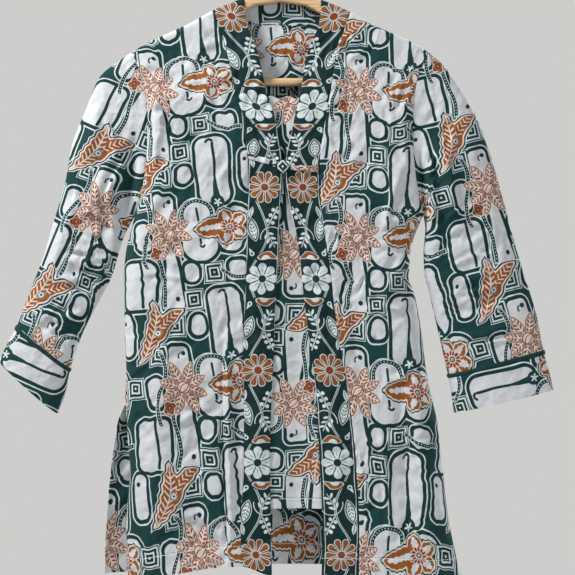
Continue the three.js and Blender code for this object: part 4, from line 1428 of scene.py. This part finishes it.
@dataclass
class Dresser:
    """Gives finished pieces the material of their slot and their body, and hides the frame's node
    that each stands for.
    """

    wardrobe: Wardrobe

    def dress(self, piece: bpy.types.Object, node: str, slot: str) -> bpy.types.Object:
        """Finishes one piece.

        Args:
            piece: the object.
            node: the frame's node that it stands for.
            slot: the record's material slot.

        Returns:
            The same object.
        """
        piece.data.materials.clear()
        piece.data.materials.append(getattr(self.wardrobe, slot))
        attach(piece, "root")
        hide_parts(node)
        LOG.info("%s stands for %s: %d faces", piece.name, node, len(piece.data.polygons))
        return piece

    def sheet(
        self, cloth: ClothPiece, node: str, slot: str, held: str, rests_on: str,
        extras: Sequence[bpy.types.Object] = (),
    ) -> bpy.types.Object:
        """Sews and finishes a cloth piece, and states the size it was cut to.

        Args:
            cloth: the piece.
            node: the frame's node that it stands for.
            slot: the record's material slot.
            rests_on: what holds it; not used.
            extras: separate pieces on it; not used.

        Returns:
            The object.
        """
        piece = self.dress(cloth.sew(), node, slot)
        size, area = cloth.flat()
        area = min(area, size[0] * size[1])
        LOG.info("  cut %.3f x %.3f m, %.4f square metres", *size, area)
        return piece


@dataclass
class Front:
    """One open front with its border band: a single surface, parted at the band's seam."""

    side: Side
    dresser: Dresser
    panel_columns: int = 72
    band_columns: int = 17
    hem_curve: float = 0.8
    grain: dict[Side, Grain] = field(
        default_factory=lambda: {
            Side.RIGHT: Grain(-162, 438, 5.8),
            Side.LEFT: Grain(113, 443, -0.4),
        }
    )
    daisy_drop: float = 372.0  # an orange daisy's middle, on both bands
    tuck: float = 15.0  # length of band that the closure gathers above its knot
    tuck_drop: float = 352.0
    tuck_reach: float = 90.0
    roll: float = 0.8  # how far the bands' free edges roll inwards
    roll_wide: float = 3.5

    def places(self) -> tuple[Place, Place]:
        """x and drop of the panel's and the band's grids."""
        sign, word = self.side.value, self.side.word
        side_x = BodyForm.side_line(word)
        outer = Line(BANDS, "drop", f"{word}_outer")
        inner = Line(BANDS, "drop", f"{word}_inner")
        side_hem, band_hem, inner_hem = HEMS[self.side]
        neck = abs(float(outer(SHOULDER_DROP(100.0))))
        collar = abs(float(inner(SHOULDER_DROP(56.0))))

        def shoulder(first: float, last: float) -> Callable:
            return lambda s: (sign * mix(first, last, s), SHOULDER_DROP(mix(first, last, s)))

        def hem(a: Callable, b: Callable) -> Callable:
            one = np.ones(1)
            return lambda s: (
                mix(a(one)[0], b(one)[0], s),
                mix(a(one)[1], b(one)[1], ease(s) ** self.hem_curve),
            )

        edge = edge_by(side_x, ARM_TOP, side_hem, sign)
        seam = edge_by(outer, float(SHOULDER_DROP(neck)), band_hem)
        opening = edge_by(inner, float(SHOULDER_DROP(collar)), inner_hem)
        rows = body_rows()
        s, t = np.meshgrid(spread(self.panel_columns, 0.75), rows)
        panel = patch(s, t, shoulder(ARM_TIP, neck), hem(edge, seam), edge, seam)
        s, t = np.meshgrid(spread(self.band_columns), rows)
        band = patch(s, t, shoulder(neck, collar), hem(seam, opening), seam, opening)
        return panel, band

    def surface(self, x: ARRAY, drop: ARRAY, t: ARRAY, seams: ARRAY) -> ARRAY:
        """Points of the middle surface.

        Args:
            x: places across.
            drop: their drops.
            t: shares down the piece, which are 1 at the hem.
            seams: distance from the nearest seam.

        Returns:
            The points.
        """
        y = BodyForm.front_y(x, drop, self.side)
        y = y - hem_step(t) + seam_groove(seams)
        y[0] = -SEAM / 2 - CLOTH * 0.1
        side_x = BodyForm.side_line(self.side.word)(drop)
        y = np.where(BodyForm.on_side_seam(x, drop, side_x), -SEAM / 2, y)
        return placed(x, y, drop)

    def build(self, extras: Sequence[bpy.types.Object]) -> None:
        """Sews the panel and the band."""
        (px, pd), (bx, bd) = self.places()
        word, sign = self.side.word, self.side.value
        t = np.broadcast_to(body_rows()[:, None], px.shape)
        side_seam = np.where(pd < ARM_END, 99, np.abs(px - px[:, :1]))
        seams = np.minimum(np.abs(px - px[:, -1:]), side_seam)
        pulled = px.copy()
        pulled[:, -1] += sign * SEAM / 2
        points = self.surface(pulled, pd, t, seams)
        across = px - sign * centred_gain(points, 1)
        cut = self.grain[self.side].cut(across, -pd - centred_gain(points, 0))
        self.dresser.sheet(
            ClothPiece(f"front_{word}_cloth", points, cut, hem_stitch=HEM_STITCH),
            f"front_{word}", "field_cotton", "hung", "hanger_arms",
        )
        t = np.broadcast_to(body_rows()[:, None], bx.shape)
        wide = np.abs(bx[:, -1:] - bx[:, :1])
        near = np.abs(bx - bx[:, :1])
        pulled = bx.copy()
        pulled[:, 0] -= sign * SEAM / 2
        points = self.surface(pulled, bd, t, near)
        points[..., 1] += self.roll * (1 - np.clip((wide - near) / self.roll_wide, 0, 1)) ** 2
        gathered = self.tuck * ease((self.tuck_drop - bd) / self.tuck_reach)
        cut = np.stack([wide / 2 - near, self.daisy_drop - bd + gathered], axis=2) * MM
        self.dresser.sheet(
            ClothPiece(f"band_{word}_cloth", points, cut, hem_stitch=HEM_STITCH),
            f"band_{word}", "border_cotton", "hung", "hanger_arms", extras,
        )


@dataclass
class Neck:
    """The band round the back neck, and the line that the back is cut to there."""

    right: dict[str, float] = field(default_factory=lambda: {"seam": 96.7, "edge": 52.5})
    left: dict[str, float] = field(default_factory=lambda: {"seam": 104.3, "edge": 60.4})
    middle: dict[str, float] = field(default_factory=lambda: {"seam": 128.0, "edge": 89.0})
    turn: float = 0.8  # share of its half beyond which it turns over the hanger
    swell: float = 0.8  # how far it stands off behind the hanger
    grain: Grain = Grain(-43, 38)

    def place(self, share: ARRAY, line: str) -> ARRAY:
        """Points of the seam or the free edge, from the right shoulder (-1) to the left (1)."""
        x = share * np.where(share < 0, self.right[line], self.left[line])
        angle = np.clip((1 - np.abs(share)) / (1 - self.turn), 0, 1) * np.pi / 2
        hang = self.middle[line] - float(SHOULDER_DROP(0.0)) - TURN
        sag = TURN * (1 - np.cos(angle))
        sag = sag + hang * (1 - np.minimum(np.abs(share) / self.turn, 1) ** 2)
        return np.stack([x, TURN * np.sin(angle), -SHOULDER_DROP(np.abs(x)) - sag], axis=-1)

    def shares(self) -> ARRAY:
        """Where the band has a column, close over the hanger's edges."""
        return np.concatenate([
            np.linspace(-1, -self.turn, 9),
            np.linspace(-self.turn, self.turn, 33)[1:-1],
            np.linspace(self.turn, 1, 9),
        ])

    def build(self, dresser: Dresser) -> None:
        """Sews the neck band."""
        share = self.shares()
        seam, edge = self.place(share, "seam"), self.place(share, "edge")
        lower = spread(11)[:, None, None]
        points = mix(edge[None], seam[None], lower)
        inner = np.abs(share) < 1
        points[-1, inner, 2] += SEAM / 2
        points[..., 1] = np.maximum(points[..., 1], SEAM / 2)
        points[..., 1] += self.swell * ease(lower[..., 0] * 2) * ease((1 - np.abs(share)) * 8)[None]
        cut = self.grain.cut(points[..., 0] + centred_gain(points, 1), points[..., 2])
        dresser.sheet(
            ClothPiece("neck_band_cloth", points, cut), "neck_band", "field_cotton",
            "draped", "hanger_arms",
        )


@dataclass
class Back:
    """The back, in one piece, whose top follows the shoulders and the neck's seam."""

    neck: Neck
    dresser: Dresser
    middle_hem: float = 928.0
    hem_curve: float = 1.5
    shoulder_columns: int = 21  # either side of the neck
    grain: Grain = Grain(-58, 160)

    def top(self) -> Place:
        """x and drop along the back's top edge, right to left."""
        ends = spread(self.shoulder_columns + 1, 0.4)[:-1]
        right = -mix(ARM_TIP, self.neck.right["seam"], ends)
        left = mix(ARM_TIP, self.neck.left["seam"], ends)[::-1]
        hollow = self.neck.place(self.neck.shares(), "seam")
        x = np.concatenate([right, hollow[:, 0], left])
        drop = np.concatenate([SHOULDER_DROP(-right), -hollow[:, 2], SHOULDER_DROP(left)])
        return x, drop

    def build(self) -> None:
        """Sews the back."""
        right_x, left_x = BodyForm.side_line("right_back"), BodyForm.side_line("left")
        top_x, top_drop = self.top()
        shares = (top_x + ARM_TIP) / (2 * ARM_TIP)
        right = edge_by(right_x, ARM_TOP, HEM_DROP, -1)
        left = edge_by(left_x, ARM_TOP, HEM_DROP)
        one = np.ones(1)

        def hem(s: ARRAY) -> Place:
            drop = mix(HEM_DROP, self.middle_hem, np.sin(np.pi * s) ** self.hem_curve)
            return mix(right(one)[0], left(one)[0], s), drop

        def edge(s: ARRAY) -> Place:
            return np.interp(s, shares, top_x), np.interp(s, shares, top_drop)

        s, t = np.meshgrid(shares, body_rows())
        x, drop = patch(s, t, edge, hem, right, left)
        side_x = np.where(x < 0, right_x(drop), left_x(drop))
        y = BodyForm.stand_off(x, drop, side_x, BACK_DEPTH(drop))
        y = y + BodyForm.relief(x, drop, side_x, Face.BACK) + hem_step(t)
        y = np.where(BodyForm.on_side_seam(x, drop, side_x), SEAM / 2, y)
        points = placed(x, y, drop)
        hollow = self.neck.place(self.neck.shares(), "seam")
        cut_out = slice(self.shoulder_columns, self.shoulder_columns + len(hollow))
        points[0, :, 1] = SEAM / 2
        points[0, cut_out] = hollow
        points[0, cut_out, 2] -= SEAM / 2
        cut = self.grain.cut(x + centred_gain(points, 1), -drop - centred_gain(points, 0))
        self.dresser.sheet(
            ClothPiece("back_cloth", points, cut, hem_stitch=HEM_STITCH),
            "back_panel", "field_cotton", "hung", "hanger_arms",
        )


@dataclass
class Sleeve:
    """A set-in sleeve with its turned cuff and the piping on the cuff's seam."""

    side: Side
    dresser: Dresser
    around: int = 120
    along: int = 130
    full: float = 0.42  # below 1 the section is a flat box, at 1 a lens
    piping_thick: float = 1.0
    piping_swell: float = 0.9  # how far the piping's middle stands off
    cuff_room: tuple[float, float] = (0.0795, 0.086)  # the cuff's middle, on the flat cloth
    grain: dict[Side, Grain] = field(
        default_factory=lambda: {
            Side.RIGHT: Grain(-260, 406, -22), Side.LEFT: Grain(299, 373, 15)
        }
    )

    @property
    def lie(self) -> tuple[float, float]:
        """The direction of the sleeve's outer fold, in x and z."""
        rows = SLEEVES[self.side]
        x = self.side.value * (rows["out_x"][CUFF_RING] - rows["out_x"][3])
        z = rows["out_drop"][3] - rows["out_drop"][CUFF_RING]
        return x / math.hypot(x, z), z / math.hypot(x, z)

    def ring(self, k: ARRAY, p: ARRAY, face: Face) -> ARRAY:
        """Points of the tube.

        Args:
            k: rings, counted from the armhole.
            p: shares of the way from the outer fold to the inner one.
            face: which half of the tube.

        Returns:
            The points.
        """
        rows = SLEEVES[self.side]
        at = {name: Line(rows, "ring", name)(k) for name in rows if name != "ring"}
        sign = self.side.value
        spacing = (ARMHOLE_STEPS - ARM_TOP) / (ARM_END - ARM_TOP)
        hung = np.interp(p, np.linspace(0, 1, len(spacing)), spacing)
        share = mix(hung, (1 - np.cos(np.pi * p)) / 2, np.clip(k / 4, 0, 1))
        drop0 = mix(ARM_TOP, ARM_END, hung)
        seam_x = sign * ARMHOLE_X(drop0)
        bow = seam_x - sign * mix(ARM_TIP, UNDERARM_X, hung)
        bend = np.interp(k, ARMHOLE_BEND["ring"], ARMHOLE_BEND["share"])
        x = sign * mix(at["out_x"], at["in_x"], share) + bow * bend
        drop = mix(at["out_drop"], at["in_drop"], share)
        free = np.where(face is Face.FRONT, at["front"], at["back"])
        free = free * (4 * share * (1 - share)) ** self.full
        depth = mix(BodyForm.armhole_stand(drop0), free, np.clip(k / 3, 0, 1))
        lift = sum(c.lift(x, drop) for c in SLEEVE_CREASES[self.side, face])
        lift = lift + crumple(x, drop, 11.0 * face.value + 5 * sign)
        fade = (4 * share * (1 - share)) ** 0.8 * ease(k / 1.2) * (1 - 0.7 * ease(k - 8.2))
        seam = np.minimum(k * 22, 99)
        y = face.value * (depth + lift * fade - seam_groove(seam))
        return placed(x, y, drop)

    def tube(self, rings: ARRAY) -> tuple[ARRAY, ARRAY]:
        """The closed tube and its place on the flat cloth.

        Args:
            rings: the rings it has, counted from the armhole.

        Returns:
            The points and the map, whose last column repeats the first.
        """
        rows = SLEEVES[self.side]
        half = np.linspace(0, 1, self.around // 2 + 1)
        p, k = np.meshgrid(half, rings)
        front, back = self.ring(k, p, Face.FRONT), self.ring(k, p, Face.BACK)
        grain = self.grain[self.side]
        flat = []
        for points, sign in ((front, 1), (back, -1)):
            x = points[..., 0] - self.side.value * extra_length(points, 1)
            z = points[..., 2]
            if sign < 0:
                lie = np.array(self.lie)
                fold = points[:, 0, [0, 2]]
                start = np.array([self.side.value * rows["out_x"][3], -rows["out_drop"][3]])
                straight = start + ((fold - start) @ lie)[:, None] * lie
                fold = mix(straight, fold, ease((rings - 1.5) / 1.5)[:, None])
                dx, dz = x - fold[:, :1], z - fold[:, 1:]
                run = 2 * (dx * lie[0] + dz * lie[1])
                x = fold[:, :1] + run * lie[0] - dx
                z = fold[:, 1:] + run * lie[1] - dz
            flat.append(grain.cut(x, z))
        points = np.concatenate([back[:, ::-1], front[:, 1:]], axis=1)
        cut = np.concatenate([flat[1][:, ::-1], flat[0][:, 1:]], axis=1)
        return points, cut

    def build(self) -> None:
        """Sews the sleeve, the cuff and the piping."""
        word = self.side.word
        rings = np.concatenate([[0, 0.06, 0.14], np.linspace(0.25, CUFF_RING, self.along)])
        upper, cut = self.tube(rings)
        self.dresser.sheet(
            ClothPiece(f"sleeve_{word}_cloth", upper, cut, closed=True),
            f"sleeve_{word}", "field_cotton", "hung", "hanger_arms",
        )
        lower, cut = self.tube(np.linspace(CUFF_RING, LAST_RING, 30))
        rows = np.linspace(0, 1, 30)
        lower[..., 1] *= 1 + 0.06 * ease(rows * 14)[:, None]
        turned_cut = np.stack([cut[..., 1], -cut[..., 0]], axis=2) * self.side.value
        turned_cut += self.cuff_room - turned_cut[15, 3 * self.around // 4]
        cuff = ClothPiece(f"cuff_{word}_cloth", lower, turned_cut, closed=True)
        self.dresser.sheet(
            cuff, f"cuff_{word}", "field_cotton", "hung", f"sleeve_{word}_cloth", [self.piping()]
        )

    def piping(self) -> bpy.types.Object:
        """The narrow green strip over the cuff's seam."""
        word = self.side.word
        points, cut = self.tube(np.linspace(CUFF_RING - 0.085, CUFF_RING + 0.09, 7))
        along, around = (
            np.stack([np.gradient(points[..., i], axis=axis) for i in range(3)], axis=2)
            for axis in (0, 1)
        )
        normal = np.cross(around, along)
        normal /= np.linalg.norm(normal, axis=2, keepdims=True) + 1e-9
        if ((points - points.mean(axis=(0, 1))) * normal).sum() < 0:
            normal = -normal
        across = np.linspace(-1, 1, len(points))
        lift = CLOTH / 2 + TRIM_GAP + self.piping_swell * (1 - across**2)
        points = points + normal * lift[:, None, None]
        points[:, -1] = points[:, 0] = (points[:, -1] + points[:, 0]) / 2
        strip = ClothPiece(
            f"cuff_piping_{word}_cloth", points, cut, closed=True, wall=self.piping_thick
        )
        return self.dresser.dress(strip.sew(), f"cuff_piping_{word}", "piping_green")


@dataclass
class CentrePanel:
    """The shorter panel behind the bands."""

    dresser: Dresser
    top_drop: float = 240.0
    bottom_drop: float = 838.0
    tuck: float = 14.0
    behind: float = 2.2
    sag: float = 4.0
    frill: float = 2.2  # how its top edge ruffles behind the knot
    wave: float = 1.6
    hem_stitch: float = 14.0
    grain: Grain = Grain(20, 470, 180)

    def build(self) -> None:
        """Sews the panel."""
        s, t = np.meshgrid(np.linspace(0, 1, 24), np.linspace(0, 1, 120))
        drop = mix(self.top_drop, self.bottom_drop, t)
        drop = drop + self.frill * np.sin(s * 19) * (t < 0.004)
        first = Line(BANDS, "drop", "right_inner")(drop) - self.tuck
        last = Line(BANDS, "drop", "left_inner")(drop) + self.tuck
        x = mix(first, last, s)
        side_x = BodyForm.side_line("left")(drop)
        y = -BodyForm.stand_off(x, drop, side_x, FRONT_DEPTH(drop))
        y = y - BodyForm.relief(x, drop, side_x, Face.FRONT) * (1 - np.sin(np.pi * s))
        wave = self.wave * np.sin(s * 9 + t * 3) * np.sin(np.pi * s) * ease(t * 3)
        y = y + self.behind + self.sag * np.sin(np.pi * s) + wave
        points = placed(x, y, drop)
        cut = self.grain.cut(x + centred_gain(points, 1), -drop)
        self.dresser.sheet(
            ClothPiece("centre_inset_cloth", points, cut, hem_stitch=self.hem_stitch),
            "centre_inset", "field_cotton", "hung", "band_right_cloth",
        )


@dataclass(frozen=True)
class Strap:
    """Where a strap of the closure runs, as x and drop, and how it was cut."""

    start: tuple[float, float]
    end: tuple[float, float]  # at the knot
    grain: Grain


@dataclass
class Closure:
    """The cloth straps and knot that close the bands at the chest."""

    dresser: Dresser
    wide: float = 8.0
    thick: float = 1.0
    knot_x: float = 4.6
    knot_drop: float = 343.0
    knot_size: tuple[float, float, float] = (17, 8, 20)
    knot_square: tuple[float, float] = (28.0, -101.3)  # the square of the print on the knot
    strand: float = 4.2  # how closely the knot's strands cross
    straps: dict[Side, Strap] = field(
        default_factory=lambda: {
            Side.RIGHT: Strap((-46, 327), (-6, 338), Grain(-70, 366, 75)),
            Side.LEFT: Strap((56, 346), (15.5, 344), Grain(48, 352, 80)),
        }
    )

    @staticmethod
    def band_y(x: ARRAY, drop: ARRAY) -> ARRAY:
        """Y of the bands' middle surface."""
        return BodyForm.front_y(x, drop, Side.LEFT)

    def strap(self, side: Side) -> bpy.types.Object:
        """One side's strap, which narrows towards the knot."""
        word, run = side.word, self.straps[side]
        s, c = np.meshgrid(np.linspace(0, 1, 26), np.linspace(-1, 1, 9))
        x = mix(run.start[0], run.end[0], s)
        pinch = 1 - 0.35 * ease((s - 0.7) / 0.3)
        drop = mix(run.start[1], run.end[1], s) + c * self.wide / 2 * pinch
        lift = CLOTH / 2 + TRIM_GAP + self.thick / 2 + 1.1 * (1 - c**2) * ease(s * 6)
        points = placed(x, self.band_y(x, drop) - lift, drop)
        cut = run.grain.cut(x, -drop)
        piece = ClothPiece(f"strap_{word}_cloth", points, cut, wall=self.thick).sew()
        return self.dresser.dress(piece, f"strap_{word}", "field_cotton")

    def knot(self) -> bpy.types.Object:
        """The ball of rolled cloth, creased where its strands cross."""
        deselect()
        bpy.ops.mesh.primitive_uv_sphere_add(segments=64, ring_count=40, radius=1)
        piece = bpy.context.object
        piece.name = piece.data.name = "knot_cloth"
        mesh = piece.data
        co = np.empty(3 * len(mesh.vertices))
        mesh.vertices.foreach_get("co", co)
        p = co.reshape(-1, 3)
        one, other = (
            np.abs(np.sin(self.strand * (p[:, 0] + lean * p[:, 2]))) for lean in (1, -1)
        )
        weave = (one * other) ** 0.6
        p = p * (0.9 + 0.1 * weave)[:, None] * np.array(self.knot_size) / 2
        y = float(self.band_y(np.array([self.knot_x]), np.array([self.knot_drop]))[0])
        lift = CLOTH / 2 + TRIM_GAP + self.knot_size[1] / 2
        p += (self.knot_x, y - lift, -self.knot_drop)
        mesh.vertices.foreach_set("co", (p * MM).ravel())
        mesh.uv_layers[0].name = "Cut"
        across, up = turned(p[:, 0] - self.knot_x, p[:, 2] + self.knot_drop, 45)
        fill_map(mesh, "Cut", (np.stack([across, up], axis=1) + self.knot_square) * MM)
        smooth(piece, 80)
        self.dresser.dress(piece, "knot", "field_cotton")
        return piece

    def build(self) -> dict[Side, list[bpy.types.Object]]:
        """Makes the closure, by the band that carries each piece."""
        right, left = self.strap(Side.RIGHT), self.strap(Side.LEFT)
        return {Side.RIGHT: [right], Side.LEFT: [left, self.knot()]}


@dataclass
class Hanger:
    """The wooden hanger with its bar and wire hook."""

    dresser: Dresser
    thick: float = 12.0
    clear: float = 2.8  # from the cloth's middle surface to the arms' top
    end: float = 206.0
    lug_inner: float = 178.0
    lug_drop: float = 228.0
    bar_drop: float = 215.6
    bar_radius: float = 6.0
    wire: float = 2.0
    bend: float = 24.0
    underside: dict[str, ARRAY] = field(
        default_factory=lambda: table(
            "x drop", (0, 98), (35, 103), (60, 115.5), (100, 135), (140, 156), (168, 170),
            (177, 182), (178, 196),
        )
    )

    def arms(self) -> None:
        """Both arms and their end lugs, as one rounded bar."""
        half = np.concatenate([
            np.linspace(0, self.lug_inner - 2, 60),
            self.lug_inner + np.array([-0.8, 0, 0.4, 1, 2]),
            np.linspace(self.lug_inner + 5, self.end - 3, 12),
            self.end - np.array([1.5, 0.5, 0]),
        ])
        x = np.concatenate([-half[:0:-1], half])
        reach = np.abs(x)
        top = SHOULDER_DROP(np.minimum(reach, 240)) + self.clear
        under = np.where(
            reach <= self.lug_inner, Line(self.underside, "x", "drop")(reach), self.lug_drop
        )
        cap = np.sqrt(np.clip(1 - np.clip((reach - self.end + 5) / 5, 0, 1) ** 2, 0.02, 1))
        middle, tall = (top + under) / 2, (under - top) / 2 * (0.35 + 0.65 * cap)
        angle = np.linspace(0, 2 * np.pi, 41)
        c, s = np.cos(angle), np.sin(angle)
        across, up = (np.sign(part) * np.abs(part) ** 0.5 for part in (c, s))
        y = self.thick / 2 * cap[:, None] * across
        z = -(middle[:, None] + tall[:, None] * up)
        points = np.stack([np.broadcast_to(x[:, None], y.shape), y, z], axis=2)
        self.solid(points, "hanger_arms_wood", "hanger_arms")

    def solid(self, points: ARRAY, name: str, node: str) -> None:
        """A closed solid lofted through rings of points, in the hanger's wood.

        Args:
            points: rings of points, each ring's last point its first again.
            name: the object's name.
            node: the frame's node that it stands for.
        """
        piece = grid_of(name, points)
        bpy.ops.object.mode_set(mode="EDIT")
        bpy.ops.mesh.select_all(action="SELECT")
        bpy.ops.mesh.remove_doubles(threshold=MERGE)
        bpy.ops.mesh.select_all(action="DESELECT")
        bpy.ops.mesh.select_mode(type="EDGE")
        bpy.ops.mesh.select_non_manifold()
        bpy.ops.mesh.edge_face_add()
        bpy.ops.mesh.select_all(action="SELECT")
        bpy.ops.mesh.normals_make_consistent(inside=False)
        bpy.ops.object.mode_set(mode="OBJECT")
        smooth(piece, 50)
        self.dresser.dress(piece, node, "hanger_wood")

    def bar(self) -> None:
        """The trouser bar between the lugs."""
        deselect()
        bpy.ops.mesh.primitive_cylinder_add(
            vertices=48, radius=self.bar_radius * MM, depth=2 * (self.lug_inner - SEAM) * MM
        )
        piece = bpy.context.object
        piece.name = piece.data.name = "hanger_bar_wood"
        bpy.ops.object.mode_set(mode="EDIT")
        bpy.ops.mesh.select_all(action="SELECT")
        bpy.ops.transform.rotate(
            value=math.pi / 2, orient_axis="Y", center_override=(0, 0, 0)
        )
        bpy.ops.transform.translate(value=(0, 0, -self.bar_drop * MM))
        bpy.ops.object.mode_set(mode="OBJECT")
        apply_modifier(piece, "BEVEL", width=0.0012, segments=3, limit_method="ANGLE")
        smooth(piece, 40)
        self.dresser.dress(piece, "hanger_bar", "hanger_wood")

    def hook(self) -> None:
        """The wire hook, whose bend tops out at the origin."""
        angle = np.radians(np.linspace(-15, 225, 40))
        x, z = self.bend * np.cos(angle), self.bend * np.sin(angle) - (self.bend - self.wire)
        foot = float(SHOULDER_DROP(0.0)) + self.clear - SEAM
        way = np.concatenate([np.stack([x, z], 1), [(-6, -49), (0, -58), (0, -68), (0, -foot)]])
        curve = bpy.data.curves.new("hanger_hook_wire", "CURVE")
        curve.dimensions = "3D"
        curve.bevel_depth = self.wire * MM
        curve.bevel_resolution = 6
        curve.use_fill_caps = True
        spline = curve.splines.new("POLY")
        steps = running(np.linalg.norm(np.diff(way, axis=0), axis=1), 0)
        at = np.linspace(0, steps[-1], 110)
        fine = np.stack([np.interp(at, steps, way[:, i]) for i in (0, 1)], 1)
        for _ in range(3):
            fine[1:-1] = (fine[:-2] + 2 * fine[1:-1] + fine[2:]) / 4
        spline.points.add(len(fine) - 1)
        for point, (px, pz) in zip(spline.points, fine):
            point.co = (px * MM, 0, pz * MM, 1)
        piece = bpy.data.objects.new("hanger_hook_wire", curve)
        bpy.context.collection.objects.link(piece)
        deselect()
        piece.select_set(True)
        bpy.context.view_layer.objects.active = piece
        bpy.ops.object.convert(target="MESH")
        piece = bpy.context.object
        smooth(piece, 60)
        self.dresser.dress(piece, "hanger_hook", "hook_steel")

    def build(self) -> None:
        """Makes the whole hanger."""
        self.arms()
        self.bar()
        self.hook()


# -------------------------------------------------------------------------- the studio


@dataclass
class Studio:
    """Floor, soft lights and the camera."""

    middle: tuple[float, float] = (10.9, -518.0)  # x and z at the picture's middle
    frame_wide: float = 834.0  # what the picture spans at the fronts
    plane_y: float = -25.0
    distance: float = 1600.0
    floor_drop: float = 1300.0
    lamps: tuple[tuple[str, Sequence[float], float, float], ...] = (
        ("key", (-1.55, -0.8, 1.0), 0.6, 72),
        ("fill", (1.7, -1.7, -0.2), 1.4, 20),
        ("back", (1.9, 1.5, 1.1), 0.9, 84),
    )

    def floor(self) -> None:
        """A plain pale floor under the hanging blouse."""
        deselect()
        bpy.ops.mesh.primitive_circle_add(
            vertices=64, radius=0.95, fill_type="NGON", location=(0, 0, -self.floor_drop * MM)
        )
        ground = bpy.context.object
        ground.name = "floor"
        ground.data.materials.append(Plain("floor_pale", srgb(214, 213, 210)).material())

    def light(self, name: str, place: Sequence[float], size: float, power: float) -> None:
        """One soft square light that faces the blouse's middle.

        Args:
            name: the light's name.
            place: where it stands, in metres.
            size: its side, in metres.
            power: its power, in watts.
        """
        lamp = bpy.data.lights.new(name, "AREA")
        lamp.shape, lamp.size, lamp.energy = "SQUARE", size, power
        made = bpy.data.objects.new(name, lamp)
        made.location = place
        aim = Vector((self.middle[0] * MM, 0, self.middle[1] * MM)) - made.location
        made.rotation_euler = aim.to_track_quat("-Z", "Y").to_euler()
        bpy.context.collection.objects.link(made)

    def build(self) -> None:
        """Sets up the studio."""
        self.floor()
        world = bpy.data.worlds.new("pale_room")
        world.use_nodes = True
        maker = NodeMaker(world)
        seen = maker.node("ShaderNodeLightPath", {}).outputs["Is Camera Ray"]
        tint = maker.paint(srgb(126, 129, 134), seen, srgb(205, 205, 203))
        sky = maker.node("ShaderNodeBackground", {}, tint, 1.0)
        maker.node("ShaderNodeOutputWorld", {}, sky.outputs[0])
        bpy.context.scene.world = world
        for lamp in self.lamps:
            self.light(*lamp)
        camera = bpy.data.cameras.new("camera")
        camera.lens = camera.sensor_width * self.distance / self.frame_wide
        made = bpy.data.objects.new("camera", camera)
        x, z = self.middle
        made.location = (x * MM, (self.plane_y - self.distance) * MM, z * MM)
        made.rotation_euler = (math.pi / 2, 0, 0)
        bpy.context.collection.objects.link(made)
        bpy.context.scene.camera = made
        bpy.context.scene.view_settings.view_transform = "Standard"


def main() -> None:
    """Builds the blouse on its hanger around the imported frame."""
    logging.basicConfig(level=logging.INFO, format="%(name)s: %(message)s")
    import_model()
    Studio().build()
    dresser = Dresser(Wardrobe())
    Hanger(dresser).build()
    extras = Closure(dresser).build()
    for side in Side:
        Front(side, dresser).build(extras[side])
        Sleeve(side, dresser).build()
    neck = Neck()
    neck.build(dresser)
    Back(neck, dresser).build()
    CentrePanel(dresser).build()


if __name__ == "__main__":
    main()
